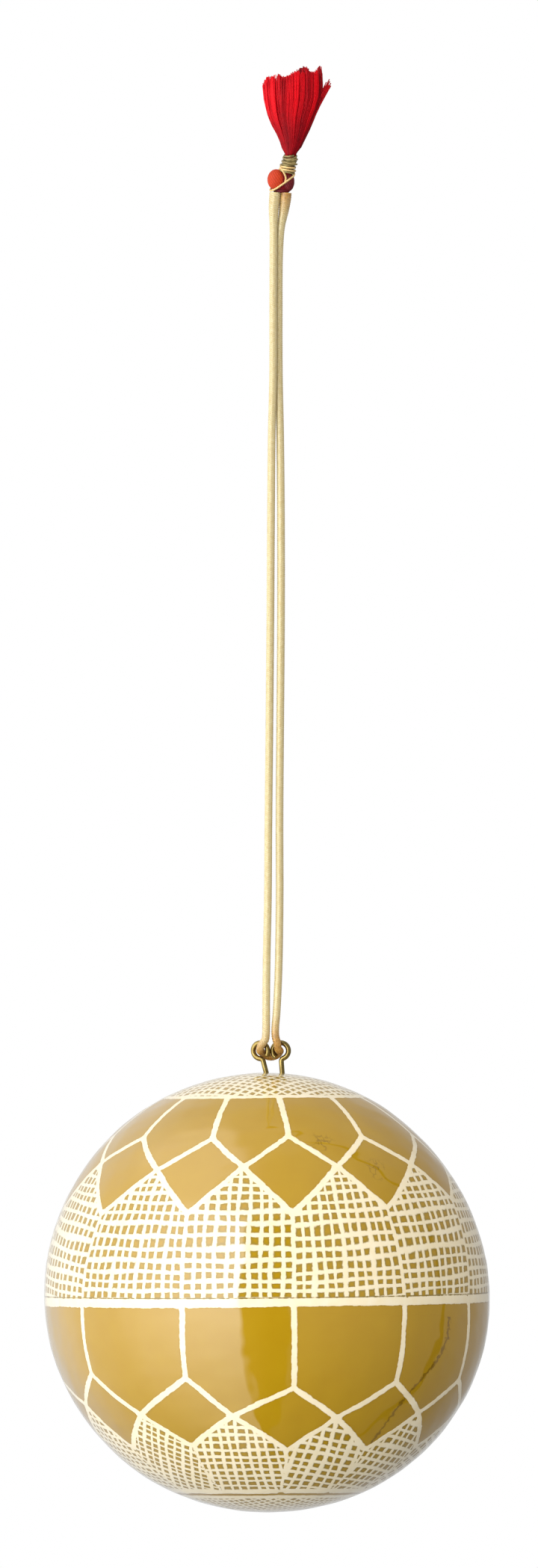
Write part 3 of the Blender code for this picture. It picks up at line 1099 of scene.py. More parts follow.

# %% [markdown]
# The paint: a mustard gold ground, cream strokes that lie a hair thicker than the ground, and a clear
# lacquer over both. The lacquer is the shader's coat. The paint's own skin under it is a little
# rough, and the strokes' edges lift it through a bump. The gold gets painted shade beside the outlines,
# in the bare line above the band and between the hatching's strokes.

# %% The paint
GOLD = (0.292, 0.176, 0.0035, 1.0)
GOLD_DEEP = (0.272, 0.156, 0.0025, 1.0)
GOLD_PAINTED_SHADE = (0.120, 0.066, 0.002, 1.0)
HATCH_PAINTED_SHADE = (0.125, 0.105, 0.026, 1.0)
CREAM = (0.625, 0.572, 0.440, 1.0)
CREAM_THIN = (0.600, 0.505, 0.305, 1.0)
CRACK_BROWN = (0.085, 0.040, 0.002, 1.0)
STROKE_THICKNESS = 0.08 * MM
# How much painted shade darkens the ground beside an outline, in the bare line, and between the
# hatching's strokes.
SHADE_BESIDE, SHADE_BARE, SHADE_BETWEEN = 0.22, 0.6, 0.55
# The painted shade beside an outline goes out to twice this, in millimetres.
BESIDE_REACH = 0.22
# The noises that make the edges unsure and press the brush.
FINE_GRAIN, COARSE_GRAIN = 900.0, 110.0


def paint_finish():
    made, tree, shader = new_material(
        "painted_paper", Roughness=0.35, Specular_IOR_Level=0.08, Coat_Weight=1.0, Coat_Roughness=0.03,
        Coat_IOR=1.55,
    )
    unsure = math_node(tree, "SUBTRACT", noise_node(tree, FINE_GRAIN, detail=2.0), 0.5)
    pressure = math_node(tree, "SUBTRACT", noise_node(tree, COARSE_GRAIN, detail=1.0), 0.5)
    hatch, hatch_shade = hatch_masks(tree, unsure, pressure)
    painted, bare = paint_masks(tree, unsure, hatch)

    # Painted shade on the gold beside the outlines, in the bare line and between the hatching's strokes.
    beside = near_stroke(tree, stored_node(tree, "stroke_edge"), BESIDE_REACH, BESIDE_REACH)
    beside = math_node(tree, "MULTIPLY", beside, SHADE_BESIDE)
    shade = math_node(tree, "MAXIMUM", beside, math_node(tree, "MULTIPLY", bare, SHADE_BARE))
    gold = add_mottle(tree, GOLD, GOLD_DEEP, grain=160.0, contrast=1.2)
    gold = mix_node(tree, shade, gold, GOLD_PAINTED_SHADE)
    gold = mix_node(tree, math_node(tree, "MULTIPLY", hatch_shade, SHADE_BETWEEN), gold, HATCH_PAINTED_SHADE)
    gold = mix_node(tree, lacquer_marks(tree, unsure), gold, CRACK_BROWN)
    cream = add_mottle(tree, CREAM, CREAM_THIN, grain=420.0, contrast=1.4)
    tree.links.new(mix_node(tree, painted, gold, cream), shader.inputs["Base Color"])
    bump = add_node(tree, "Bump", {"Strength": 0.6, "Distance": STROKE_THICKNESS})
    tree.links.new(painted, bump.inputs["Height"])
    tree.links.new(bump.outputs["Normal"], shader.inputs["Normal"])
    return made


finish_piece(ball, paint_finish(), "painted_paper", "ball")

# %% [markdown]
# ## The wire eyes
# Each eye is one brass wire. Its pin is pushed into the ball, and above the skin the wire bends to one
# side and runs once round, stopping short of its own start. It could be a torus on a cylinder, but
# then the bend between them would be missing. One bent line gives the pin, the bend and the ring.

# %% The wire eyes
WIRE_DIAMETER = 1.15 * MM
EYE_RING_RADIUS = 1.8 * MM
EYE_BEND_RADIUS = 0.8 * MM
EYE_RING_GAP = 0.6 * MM
EYE_RING_HEIGHT = 5.1 * MM
PIN_DEPTH = 8.0 * MM
EYE_SIDES = 20
BRASS, BRASS_TARNISHED = (0.34, 0.26, 0.085, 1), (0.15, 0.10, 0.03, 1)
# For each eye: how far right its pin enters, its lean to the right and the turn of its ring.
EYES = {
    "eye_left": (-0.7 * MM, radians(-15), radians(-25)),
    "eye_right": (2.9 * MM, radians(-5), radians(174)),
}


def eye_line():
    """The middle of one eye's wire, with Z up its pin from the ball's skin and X across its ring."""
    turn = acos(EYE_BEND_RADIUS / (EYE_BEND_RADIUS + EYE_RING_RADIUS))
    pin_top = EYE_RING_HEIGHT - (EYE_BEND_RADIUS + EYE_RING_RADIUS) * sin(turn)
    end_gap = 2 * asin((WIRE_DIAMETER + EYE_RING_GAP) / (2 * EYE_RING_RADIUS))
    points = [Vector((0, 0, z)) for z in np.linspace(-PIN_DEPTH, pin_top, 8)[:-1]]
    for at in np.linspace(0, turn, 10)[:-1]:
        x, z = EYE_BEND_RADIUS * (cos(at) - 1), EYE_BEND_RADIUS * sin(at)
        points.append(Vector((x, 0, pin_top + z)))
    for at in np.linspace(pi + turn, end_gap + turn - pi, 72):
        x, z = EYE_RING_RADIUS * cos(at), EYE_RING_RADIUS * sin(at)
        points.append(Vector((x, 0, EYE_RING_HEIGHT + z)))
    return points


def brass_finish():
    made, tree, shader = new_material("brass_wire", Roughness=0.30, Metallic=1.0)
    tarnish = add_mottle(tree, BRASS, BRASS_TARNISHED, grain=900.0, contrast=1.5)
    tree.links.new(tarnish, shader.inputs["Base Color"])
    return made


brass = brass_finish()
for node, (x, lean, turn) in EYES.items():
    skin = ball_half_height * (1 - (x / ball_radius) ** 2) ** 0.5
    base = Matrix.Translation(ball_middle + Vector((x, 0, skin)))
    stand = base @ Matrix.Rotation(lean, 4, "Y") @ Matrix.Rotation(turn, 4, "Z")
    line = [stand @ point for point in eye_line()]
    wire = tubes(node + "_wire", [line], WIRE_DIAMETER / 2, EYE_SIDES)
    close_ends(wire.data)
    finish_piece(wire, brass, "brass_wire", node)

# %% [markdown]
# ## The tassel
# A tassel is one bundle of thread, tied in the middle, folded over and bound with gold thread at the
# neck. Its fold makes the two lobes of the head, and its cut ends make the skirt. This one stands up
# from the loop, so its skirt fans out at the top. Hair particles would not be exported, so the
# threads are real tubes of few faces round a grooved core, which stops the light from passing through.
# The bundle's outline at each height comes first, because threads, core and binding all follow it.

# %% The bundle's outline
# Millimetres: height, middle, half width and half depth of the bundle, from the neck upwards.
SKIRT_LEVELS = (
    (8.6, 2.55, 0.85, 0.85),
    (9.6, 2.55, 1.15, 1.10),
    (10.3, 2.65, 1.85, 1.55),
    (11.7, 2.83, 2.35, 1.95),
    (13.9, 2.85, 3.35, 2.60),
    (16.1, 2.72, 4.55, 3.30),
    (18.3, 2.60, 5.40, 3.90),
    (20.5, 2.89, 6.25, 4.40),
    (21.5, 2.93, 6.55, 4.60),
    (25.5, 2.85, 6.75, 4.70),
    (30.0, 2.70, 6.60, 4.60),
)
# The same for the neck between the head and the skirt.
NECK_LEVELS = (
    (1.4, 0.85, 1.2, 1.0),
    (3.9, 1.40, 1.45, 1.15),
    (4.8, 1.65, 1.12, 1.0),
    (7.2, 2.20, 1.12, 1.08),
)
# Millimetres: across and up, along the ragged top from the left to the right.
SKIRT_TOP = (
    (-4.0, 24.3), (-3.3, 24.9), (-2.0, 26.0), (-0.4, 26.9), (2.1, 26.7), (4.2, 28.0), (5.5, 28.6),
    (6.6, 27.7), (8.8, 28.2), (9.5, 27.2),
)


def outline_at(levels, height):
    """The middle, half width and half depth of an outline at a height, all in millimetres."""
    heights, *columns = zip(*levels)
    return [np.interp(height, heights, column) for column in columns]


print("the skirt is", round(2 * max(level[2] for level in SKIRT_LEVELS), 1), "mm wide")

# %% [markdown]
# Threads are dyed and cut together, but they cling in locks: each lock has its own shade, its own
# length and its own place in the bundle, and its tips draw together. Each thread strays a little from
# its lock. Most locks lie round the outside, where they show.

# %% The skirt's threads
THREADS = 1560
LOCKS = 52
OUTER_LOCKS = 30
THREAD_DIAMETER = 0.24 * MM
THREAD_SIDES = 4
THREAD_POINTS = 10
# A thread's points are closer together at the neck, by this power, because it bends most there.
THREAD_CROWDING = 1.3
SKIRT_FOOT = SKIRT_LEVELS[0][0]
# Where the ragged top is read: at the outline's middle at this height, over this half width.
TOP_HEIGHT, TOP_HALF_WIDTH = 27, 6.3
# Places in the bundle are shares of its half width and half depth.
OUTER_REACH, INNER_REACH = (0.90, 0.97), (0, 0.80)
LOCK_SPREAD, STRAY, SWAY = 0.085, 0.03, 0.012
# Millimetres by which locks, and threads in a lock, differ in length.
LOCK_RAGGED, THREAD_RAGGED = 0.48, 0.22
# How far a lock may be from its even place round the bundle, as a share of the gap to the next.
LOCK_SHIFT = 0.2
# Shades go from 0, deep, to 1, clear. A lock has one by chance, and its threads differ from it a little.
LOCK_SHADES, THREAD_SHADE = (0.10, 0.90), 0.05
# How much a lock's threads have drawn together at its tip.
TIP_PULL = (0.35, 0.75)
# Share of a thread's own shade at each height in millimetres: painted shade makes the skirt darker
# towards the neck.
SKIRT_PAINTED_SHADE = ((9.0, 0.30), (14.5, 0.42), (18.5, 0.90), (21.5, 1.12))


def thread_line(home, offset, top, pull, stray, sway):
    """One thread's line from the neck to its tip."""
    line = []
    for share in np.linspace(0, 1, THREAD_POINTS):
        height = SKIRT_FOOT + (top - SKIRT_FOOT) * share ** THREAD_CROWDING
        middle, width, depth = outline_at(SKIRT_LEVELS, height)
        place = home + offset * (1 - pull * share) + stray * share ** 2
        place += SWAY * np.sin(4 * share + sway)
        place /= max(1.0, np.hypot(*place))
        line.append(Vector((middle + width * place[0], depth * place[1], height)) * MM)
    return line


def skirt_threads():
    """The line of every thread and its shade, gathered in locks whose tips draw together."""
    rng = np.random.default_rng(8)
    top_middle = outline_at(SKIRT_LEVELS, TOP_HEIGHT)[0]
    lines, shades = [], []
    for lock in range(LOCKS):
        outer = lock < OUTER_LOCKS
        reach = rng.uniform(*(OUTER_REACH if outer else INNER_REACH))
        if outer:
            way = 2 * pi * (lock + rng.uniform(-LOCK_SHIFT, LOCK_SHIFT)) / OUTER_LOCKS
        else:
            way = rng.uniform(0, 2 * pi)
        home = np.array((cos(way), sin(way))) * reach
        lock_shade = rng.uniform(*LOCK_SHADES)
        lock_top = rng.normal(0, LOCK_RAGGED)
        pull = rng.uniform(*TIP_PULL)
        for _ in range(THREADS // LOCKS):
            offset = rng.normal(0, LOCK_SPREAD, 2)
            top = np.interp(top_middle + (home + offset)[0] * TOP_HALF_WIDTH, *zip(*SKIRT_TOP))
            top += lock_top + rng.normal(0, THREAD_RAGGED)
            stray = rng.normal(0, STRAY, 2)
            lines.append(thread_line(home, offset, top, pull, stray, rng.uniform(0, 2 * pi, 2)))
            shades.append(np.clip(lock_shade + rng.normal(0, THREAD_SHADE), 0, 1))
    return lines, shades


print("threads in a lock:", THREADS // LOCKS)

# %% [markdown]
# One small lock stands away on the right. It is made from one route, with every thread beside it by
# chance and spreading towards its tip. All the threads then become one mesh, and each vertex gets its
# thread's shade.

# %% The wisp and the whole skirt
# Millimetres.
WISP_ROUTE = (
    (4.2, -0.5, 11.0), (6.1, -0.8, 15.0), (7.6, -0.9, 18.6), (9.2, -0.9, 22.0), (10.9, -0.8, 25.4),
)
WISP_THREADS = 26
# How far the wisp's threads stray all along, and further at their tips, across, in depth and up.
WISP_DRIFT, WISP_SPREAD = 0.22, (0.20, 0.20, 0.40)
WISP_SHADES = (0.35, 0.65)


def wisp_threads():
    """The lines and shades of the small lock that stands away on the right."""
    rng = np.random.default_rng(5)
    lines = []
    for _ in range(WISP_THREADS):
        drift = Vector(rng.normal(0, WISP_DRIFT, 3))
        spread = Vector([rng.normal(0, size) for size in WISP_SPREAD])
        points = [Vector(p) + drift + spread * (i / 4) ** 2 for i, p in enumerate(WISP_ROUTE)]
        line = evenly(smooth_line(points, 6), line_length(points) / (THREAD_POINTS - 1))
        lines.append([point * MM for point in line])
    return lines, list(rng.uniform(*WISP_SHADES, WISP_THREADS))


def make_skirt():
    lines, shades = skirt_threads()
    wisp, wisp_shades = wisp_threads()
    piece = tubes("tassel_threads", lines + wisp, THREAD_DIAMETER / 2, THREAD_SIDES)
    # Painted shade: the threads get darker towards the neck.
    depth = np.interp(coordinates(piece.data)[:, 2] / MM, *zip(*SKIRT_PAINTED_SHADE))
    shade = np.repeat(shades + wisp_shades, THREAD_POINTS * THREAD_SIDES)
    store(piece.data, "shade", shade * depth)
    close_ends(piece.data)
    return piece


skirt = make_skirt()
print("threads:", len(skirt.data.vertices) // (THREAD_POINTS * THREAD_SIDES))

# %% [markdown]
# The core fills the inside of the skirt and runs down through the binding to the head. It is a
# cylinder cut into many levels. Each of its vertices is then moved out to the bundle's outline at its
# own height, and in again between the threads, which leaves lengthwise grooves.

# %% The core
CORE_SIDES = 144
CORE_LEVELS = 70
CORE_TOP = 25.4
# The core stays within this share of the bundle's outline above this height.
CORE_SHARE, CORE_SHARE_FROM = 0.86, 10
GROOVES, GROOVE_DEPTH, GROOVE_LEAN = 48, 0.05, 0.05
# From this height its top tilts up to the right, by this much for each millimetre across.
TILT_FROM, CORE_TILT = 20, 0.20
# The shade in a groove, darker as painted shade, and how much clearer the core is between two.
GROOVE_SHADE, RIDGE_SHADE = 0.30, 0.3
# Inside the head and the binding the core gets painted shade: from the first height it clears up to the
# second.
DARK_TO, CLEAR_FROM = 4.0, 9.0


def core_outline():
    """The neck's levels and the skirt's, drawn in where the threads need room."""
    levels = list(NECK_LEVELS)
    for height, middle, width, depth in SKIRT_LEVELS[1:]:
        share = CORE_SHARE if height > CORE_SHARE_FROM else 1
        levels.append((height, middle, width * share, depth * share))
    return levels


def make_core():
    levels = core_outline()
    foot = levels[0][0]
    maker = bmesh.new()
    bmesh.ops.create_cone(maker, cap_ends=True, segments=CORE_SIDES, radius1=1, radius2=1, depth=1)
    upright = [edge for edge in maker.edges if edge.verts[0].co.z * edge.verts[1].co.z < 0]
    bmesh.ops.subdivide_edges(maker, edges=upright, cuts=CORE_LEVELS - 2)
    shade_layer = maker.verts.layers.float.new("shade")
    for vert in maker.verts:
        height = foot + (vert.co.z + 0.5) * (CORE_TOP - foot)
        at = atan2(vert.co.y, vert.co.x)
        middle, width, depth = outline_at(levels, height)
        groove = abs(sin(GROOVES / 2 * at + GROOVE_LEAN * height))
        size = 1 - GROOVE_DEPTH * (1 - groove)
        across = width * cos(at) * size
        lift = CORE_TILT * across * max(0.0, (height - TILT_FROM) / (CORE_TOP - TILT_FROM))
        vert.co = Vector((middle + across, depth * sin(at) * size, height + lift)) * MM
        light = np.interp(height, (DARK_TO, CLEAR_FROM), (0.0, 1.0))
        vert[shade_layer] = (GROOVE_SHADE + RIDGE_SHADE * groove) * light
    mesh = mesh_of("tassel_core", maker)
    mesh.shade_smooth()
    mesh.set_sharp_from_angle(angle=radians(50))
    return show("tassel_core", mesh)


core = make_core()
print("the core has", len(core.data.vertices), "vertices")

# %% [markdown]
# The head is two lobes of wrapped thread and, under them, the turn that holds the cord, darkest as
# painted shade under the head. Each is a ball of its own widths, with grooves where one turn of thread
# lies beside the next, darkened as painted shade. The right lobe is darker, as painted shade away from
# the light on the left. The turns run over the top and lean to the right.

# %% The head
# Millimetres: middle, half width, half depth, half height, then the shade and the number of grooves.
HEAD_LOBES = (
    ((-0.62, -0.10, 3.70), (1.98, 1.62, 2.35), 0.95, 18),
    ((2.02, 0.10, 3.30), (1.50, 1.45, 2.28), 0.12, 16),
    ((0.62, 0.00, 1.14), (1.85, 1.25, 0.58), 0.0, 40),
)
LOBE_GROOVE = 0.07
# How much painted shade darkens the grooves between turns.
LOBE_GROOVE_PAINTED_SHADE = 0.35
# A power below 1 makes the turns rounder and the grooves between them narrower.
TURN_ROUNDNESS = 0.7
TURN_LEAN = 0.9


def make_head():
    maker = bmesh.new()
    shade_layer = maker.verts.layers.float.new("shade")
    for middle, half, shade, grooves in HEAD_LOBES:
        lobe = bmesh.ops.create_uvsphere(maker, u_segments=96, v_segments=48, radius=1)
        for vert in lobe["verts"]:
            x, y, z = vert.co
            around = atan2(y, x) + TURN_LEAN * z
            groove = abs(sin(grooves / 2 * around)) ** TURN_ROUNDNESS
            size = 1 - LOBE_GROOVE * (1 - groove) * (1 - z * z) ** 0.5
            vert[shade_layer] = max(0.0, shade - LOBE_GROOVE_PAINTED_SHADE * (1 - groove))
            vert.co = (Vector(middle) + Vector((x * half[0], y * half[1], z * half[2])) * size) * MM
    mesh = mesh_of("tassel_head", maker)
    mesh.shade_smooth()
    return show("tassel_head", mesh)


head = make_head()
print("the head has", len(HEAD_LOBES), "lobes")

# %% [markdown]
# Silky red thread: the shade runs from a deep maroon to a clear red, thread by thread, and a little
# sheen keeps the edges bright. The head's thread is older and more orange.

# %% The thread's finish
RED_DEEP, RED_CLEAR = linear(88, 0, 8), linear(188, 4, 18)
HEAD_DEEP, HEAD_CLEAR = linear(76, 20, 26), linear(164, 52, 24)
BLACK, WHITE = (0, 0, 0, 1), (1, 1, 1, 1)
FLECK = 0.3


def thread_finish(name, deep, clear):
    made, tree, shader = new_material(
        name, Roughness=0.5, Specular_IOR_Level=0.12, Sheen_Weight=0.05, Sheen_Tint=(1.0, 0.2, 0.2, 1),
    )
    fleck = add_mottle(tree, BLACK, WHITE, grain=900.0, contrast=1.0, output="Share")
    share = math_node(tree, "MULTIPLY_ADD", fleck, FLECK, stored_node(tree, "shade"))
    share = math_node(tree, "SUBTRACT", share, FLECK / 2)
    tree.links.new(mix_node(tree, share, deep, clear), shader.inputs["Base Color"])
    return made


red_thread = thread_finish("red_thread", RED_DEEP, RED_CLEAR)
head_thread = thread_finish("head_thread", HEAD_DEEP, HEAD_CLEAR)
finish_piece(skirt, red_thread, "red_thread", "tassel")
finish_piece(core, red_thread, "red_thread", "tassel")
finish_piece(head, head_thread, "red_thread", "tassel")

# %% [markdown]
# ## The binding
# Gold thread is wound round the neck in close turns, a second time across them, and once over the head
# from the right shoulder down to the left. A torus for each turn would look machine made. A line for
# each stretch of thread follows the hand's uneven winding instead: low turns fall to the right, and
# high ones dip in front under the skirt.

# %% The binding's lines
# For each stretch round the neck, in millimetres: from, to, rise of a turn, distance from the neck.
WINDINGS = ((5.3, 9.4, 0.56, 0.40), (9.0, 6.8, 0.95, 0.66), (5.5, 6.6, 0.60, 0.60))
POINTS_A_TURN = 28
BINDING_FOOT, BINDING_HEIGHT = 5.2, 4.4
FALL_RIGHT_LOW, FALL_RIGHT_HIGH, DIP_HIGH = 0.40, 0.25, 0.50
# How far the hand is off, outwards and upwards, and how often in a turn.
OFF_OUT, OFF_OUT_RATE = 0.05, 1.7
OFF_UP, OFF_UP_RATE = 0.07, 0.83
# Millimetres: the thread from the binding's right side across the head, and the one between the lobes.
HEAD_THREADS = (
    (
        (2.9, 0.9, 5.6), (3.40, 0.0, 5.15), (3.30, -0.75, 4.60), (2.40, -1.42, 3.78),
        (1.40, -1.50, 3.02), (0.30, -1.36, 2.25), (-0.65, -1.12, 1.62), (-1.45, -0.80, 1.25),
        (-1.90, -0.25, 1.25), (-1.75, 0.50, 1.70),
    ),
    (
        (0.35, -0.9, 6.5), (0.55, -1.30, 6.1), (1.05, -1.50, 5.3), (1.45, -1.42, 4.5),
        (1.55, -1.30, 3.7), (1.40, -1.2, 3.1),
    ),
)


def winding(low, high, pitch, away, seed):
    """One stretch of turns round the neck, from one height to another in millimetres."""
    start, wobble = np.random.default_rng(seed).uniform(0, 2 * pi, 2)
    turns = abs(high - low) / pitch
    line = []
    for share in np.linspace(0, 1, round(turns * POINTS_A_TURN)):
        height = low + (high - low) * share
        middle, neck, _ = outline_at(NECK_LEVELS + SKIRT_LEVELS[:2], height)
        at = start + 2 * pi * turns * share
        radius = neck + away + OFF_OUT * sin(OFF_OUT_RATE * at + wobble)
        up = (height - BINDING_FOOT) / BINDING_HEIGHT
        tilt = (FALL_RIGHT_HIGH * up - FALL_RIGHT_LOW * (1 - up)) * cos(at) + DIP_HIGH * up * sin(at)
        height += tilt + OFF_UP * sin(OFF_UP_RATE * at)
        line.append(Vector((middle + radius * cos(at), radius * sin(at), height)) * MM)
    return line


binding_lines = [winding(*stretch, seed=i + 1) for i, stretch in enumerate(WINDINGS)]
for route in HEAD_THREADS:
    binding_lines.append(evenly(smooth_line([Vector(point) * MM for point in route], 12), 0.16 * MM))
print("binding thread:", round(sum(line_length(line) for line in binding_lines) / MM), "mm")

# %% [markdown]
# The thread is twisted from three plies. The twist is relief on the tube, in the same way as the
# cord's braid, with one bump for each ply and painted shade in the gaps. The last turns and the head's
# threads are paler.

# %% The binding
BINDING_DIAMETER = 0.50 * MM
BINDING_SIDES = 18
PLIES = 3
TWIST = 1.35 * MM
PLY_RELIEF = 0.07 * MM
# How pale each stretch of thread is.
PALENESS = (0.0, 0.1, 0.85, 0.8, 0.7)
OLIVE, OLIVE_DARK, PALE = linear(156, 142, 92), linear(84, 74, 38), linear(218, 184, 124)
# Painted shade in the gaps between the plies.
PLY_GAP_SHADE = linear(70, 50, 18)


def make_binding():
    radius = (BINDING_DIAMETER - PLY_RELIEF) / 2
    piece = tubes("tassel_winding", binding_lines, radius, BINDING_SIDES)
    along = np.concatenate([np.repeat(distances(line), BINDING_SIDES) for line in binding_lines])
    _, around = tube_places(piece.data)
    height = np.abs(np.sin(pi * (PLIES * around + along * PLIES / TWIST)))
    raise_surface(piece.data, (height - 0.5) * PLY_RELIEF)
    store(piece.data, "yarn_height", height)
    store(piece.data, "pale", np.repeat(PALENESS, [len(line) * BINDING_SIDES for line in binding_lines]))
    close_ends(piece.data)
    return piece


def gold_thread_finish():
    made, tree, shader = new_material("gold_thread", Roughness=0.42, Metallic=0.35)
    olive = add_mottle(tree, OLIVE, OLIVE_DARK, grain=700.0, contrast=2.4)
    foil = mix_node(tree, stored_node(tree, "pale"), olive, PALE)
    tree.links.new(yarn_colour(tree, PLY_GAP_SHADE, foil, 0.1), shader.inputs["Base Color"])
    return made


binding = make_binding()
finish_piece(binding, gold_thread_finish(), "gold_thread", "tassel_binding")

# %% [markdown]
# The tassel's pieces are all made now. The tassel hangs on the cord.

# %% The cord's facts
print("the cord carries", [piece.name for piece in (skirt, core, head, binding)])

# %% [markdown]
# ## The stage
# The ornament hangs in a white tent, far above a pale floor. The tent is the world: how bright it is
# depends on the way round from the viewer, as in two rings of soft panels, and on the height. The
# left is the brightest panel, the viewer's own place is a dark slot, the right is dim, and one dark
# seam runs up between two panels there. The gloss of the lacquer shows exactly this. What the camera
# itself sees of the tent is plain white.

# %% The tent's panels
SLOT_HALF_WIDTH = 12.7
SLOT_EDGE = 0.4
SEAM_AZIMUTH = 104.0
SEAM_HALF_WIDTH = 1.4
SEAM_EDGE = 1.2
# Brightness by degrees from the viewer, to the left below zero and to the right above it.
LOWER_PANELS = (
    (-180, 0.75), (-150, 1.05), (-130, 1.48), (-110, 1.55), (-90, 1.8), (-70, 3.0), (-50, 4.0),
    (-30, 4.45), (-SLOT_HALF_WIDTH - SLOT_EDGE, 4.45), (-SLOT_HALF_WIDTH + SLOT_EDGE, 0.0),
    (SLOT_HALF_WIDTH - SLOT_EDGE, 0.0), (SLOT_HALF_WIDTH + SLOT_EDGE, 0.62), (50, 0.56), (70, 0.5),
    (90, 0.42), (110, 0.42), (130, 0.44), (160, 0.50), (180, 0.75),
)
UPPER_PANELS = (
    (-180, 0.75), (-150, 0.9), (-135, 1.3), (-115, 2.2), (-90, 2.4), (-50, 2.75), (-35, 1.8), (-12, 1.0),
    (10, 0.76), (70, 0.8), (90, 0.55), (110, 0.6), (130, 0.65), (160, 0.55), (180, 0.75),
)
CEILING = 1.0
BRIGHTEST = 5.0
# The lower ring's share of its brightness by degrees of height: it fades towards the floor.
FADE = ((-90, 0.30), (-70, 0.38), (-50, 0.50), (-30, 0.77), (-10, 1.0), (90, 1.0))
UPPER_FROM, UPPER_TO = 35, 50
CEILING_FROM, CEILING_TO = 72, 84
print("tent panels:", len(LOWER_PANELS) + len(UPPER_PANELS))

# %% [markdown]
# A world shader knows only the way it is looked at. Two angles come from that: the azimuth, round from
# the viewer, and the height. A colour ramp turns each into a brightness, and smooth steps pass from the
# lower ring to the upper one and to the ceiling.

# %% The tent


def ramp_node(tree, value, stops, lowest, highest):
    """A level read from a list of (degrees, level), for an angle in radians."""
    node = add_node(tree, "ValToRGB")
    tree.links.new(range_node(tree, value, radians(lowest), radians(highest)), node.inputs["Fac"])
    elements = node.color_ramp.elements
    for i, (degree, level) in enumerate(stops):
        at = (degree - lowest) / (highest - lowest)
        element = elements[0] if i == 0 else elements[-1] if i == len(stops) - 1 else elements.new(at)
        element.position = at
        # A ramp's colours end at 1, so it holds each level as a share of the brightest one.
        element.color = (*[level / BRIGHTEST] * 3, 1)
    return math_node(tree, "MULTIPLY", node.outputs["Color"], BRIGHTEST)


def angle_step(tree, value, low, high):
    """0 below a low angle and 1 above a high one, in degrees."""
    return range_node(tree, value, radians(low), radians(high), steps="SMOOTHSTEP")


def between(tree, share, first, second):
    """A number between two others."""
    gap = math_node(tree, "SUBTRACT", second, first)
    return math_node(tree, "MULTIPLY_ADD", gap, share, first)


def light_tent():
    world = bpy.data.worlds.new("tent")
    bpy.context.scene.world = world
    world.use_nodes = True
    tree = world.node_tree
    split = add_node(tree, "SeparateXYZ")
    tree.links.new(add_node(tree, "TexCoord").outputs["Generated"], split.inputs["Vector"])
    toward = math_node(tree, "MULTIPLY", split.outputs["Y"], -1.0)
    azimuth = math_node(tree, "ARCTAN2", split.outputs["X"], toward)
    height = math_node(tree, "ARCSINE", split.outputs["Z"])

    lower = ramp_node(tree, azimuth, LOWER_PANELS, -180, 180)
    lower = math_node(tree, "MULTIPLY", lower, ramp_node(tree, height, FADE, -90, 90))
    upper = ramp_node(tree, azimuth, UPPER_PANELS, -180, 180)
    wall = between(tree, angle_step(tree, height, UPPER_FROM, UPPER_TO), lower, upper)
    tent = between(tree, angle_step(tree, height, CEILING_FROM, CEILING_TO), wall, CEILING)

    off = math_node(tree, "SUBTRACT", azimuth, radians(SEAM_AZIMUTH))
    off = math_node(tree, "ABSOLUTE", off)
    clear = angle_step(tree, off, SEAM_HALF_WIDTH, SEAM_HALF_WIDTH + SEAM_EDGE)
    tent = math_node(tree, "MULTIPLY", tent, clear)

    seen = add_node(tree, "LightPath")
    level = between(tree, seen.outputs["Is Camera Ray"], tent, 1.0)
    background = tree.nodes["Background"]
    tree.links.new(level, background.inputs["Strength"])
    background.inputs["Color"].default_value = (1, 1, 1, 1)
    print("the tent has", len(tree.nodes), "nodes")


light_tent()

# %% [markdown]
# Two soft lights, one beside the camera and one high on the right, lift the shaded side. They are left
# out of reflections, where the real tent shows only its panels.

# %% The fill lights
# For each light: its place and size in metres, its power in watts and its colour.
FILLS = {
    "front_fill": ((0.15, -2.12, -0.82), 1.0, 30.0, (1.0, 0.97, 0.94)),
    "right_fill": ((1.08, -0.62, 1.54), 1.2, 21.0, (1.0, 0.92, 0.84)),
}


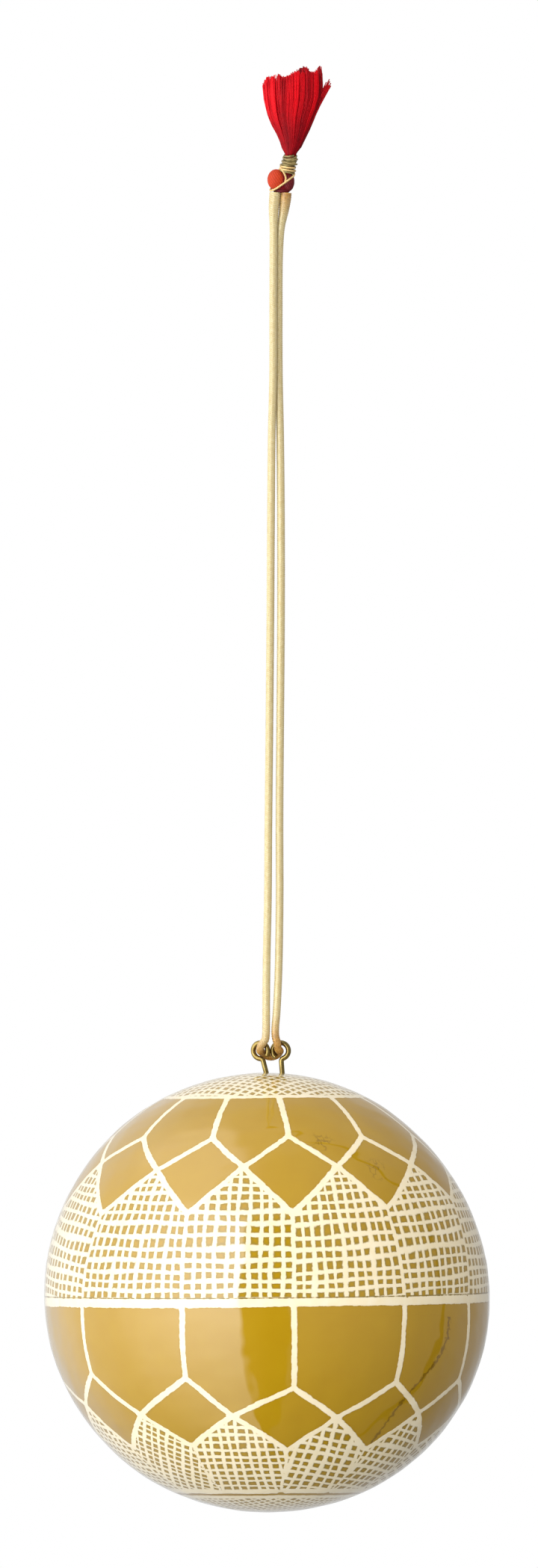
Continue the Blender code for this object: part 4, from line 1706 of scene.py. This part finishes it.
def add_light(name, place, size, power, colour):
    lamp = bpy.data.lights.new(name, "AREA")
    lamp.size, lamp.energy, lamp.color = size, power, colour
    light = show(name, lamp)
    place = Vector(place)
    turn = (place - ball_middle).to_track_quat("Z", "Y").to_matrix().to_4x4()
    light.matrix_world = Matrix.Translation(place) @ turn
    light.visible_glossy = False
    light.visible_camera = False


for name, values in FILLS.items():
    add_light(name, *values)
print("fill lights:", {name: power for name, (_, _, power, _) in FILLS.items()}, "W")

# %% [markdown]
# The floor is a plain pale disc well below. Seen from under it, it is clear, so that it never hides
# the ornament, and reflections see the tent instead of it.

# %% The floor
FLOOR_HEIGHT = -1.5
FLOOR_RADIUS = 20.0
FLOOR_PALE, FLOOR_DEEP = (0.88, 0.88, 0.87, 1), (0.84, 0.84, 0.83, 1)


def floor_finish():
    made, tree, shader = new_material(
        "pale_floor", Roughness=0.7, Emission_Color=WHITE, Emission_Strength=0.3,
    )
    tone = add_mottle(tree, FLOOR_PALE, FLOOR_DEEP, grain=0.6, contrast=1.0)
    tree.links.new(tone, shader.inputs["Base Color"])
    side = add_node(tree, "NewGeometry")
    front = math_node(tree, "SUBTRACT", 1.0, side.outputs["Backfacing"])
    tree.links.new(front, shader.inputs["Alpha"])
    return made


def add_floor():
    maker = bmesh.new()
    bmesh.ops.create_circle(maker, cap_ends=True, radius=FLOOR_RADIUS, segments=96)
    bmesh.ops.translate(maker, verts=maker.verts[:], vec=(0, 0, FLOOR_HEIGHT))
    floor = show("floor", mesh_of("floor", maker))
    floor.data.materials.append(floor_finish())
    floor.visible_glossy = False
    floor.visible_diffuse = False
    floor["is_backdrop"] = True
    return floor


floor = add_floor()
print("floor normal", tuple(floor.data.polygons[0].normal))

# %% [markdown]
# The picture is shown plainly, with no film look, so that the paint keeps its own colours. The last
# cell prints both boxes, the solid's and the looks'.

# %% The picture and the sizes
bpy.context.scene.view_settings.view_transform = "Standard"
bpy.context.view_layer.update()
low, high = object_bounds()
for name, box in (("cad", cad_high - cad_low), ("visual", high - low)):
    print(name, "box", [round(x, 4) for x in box])
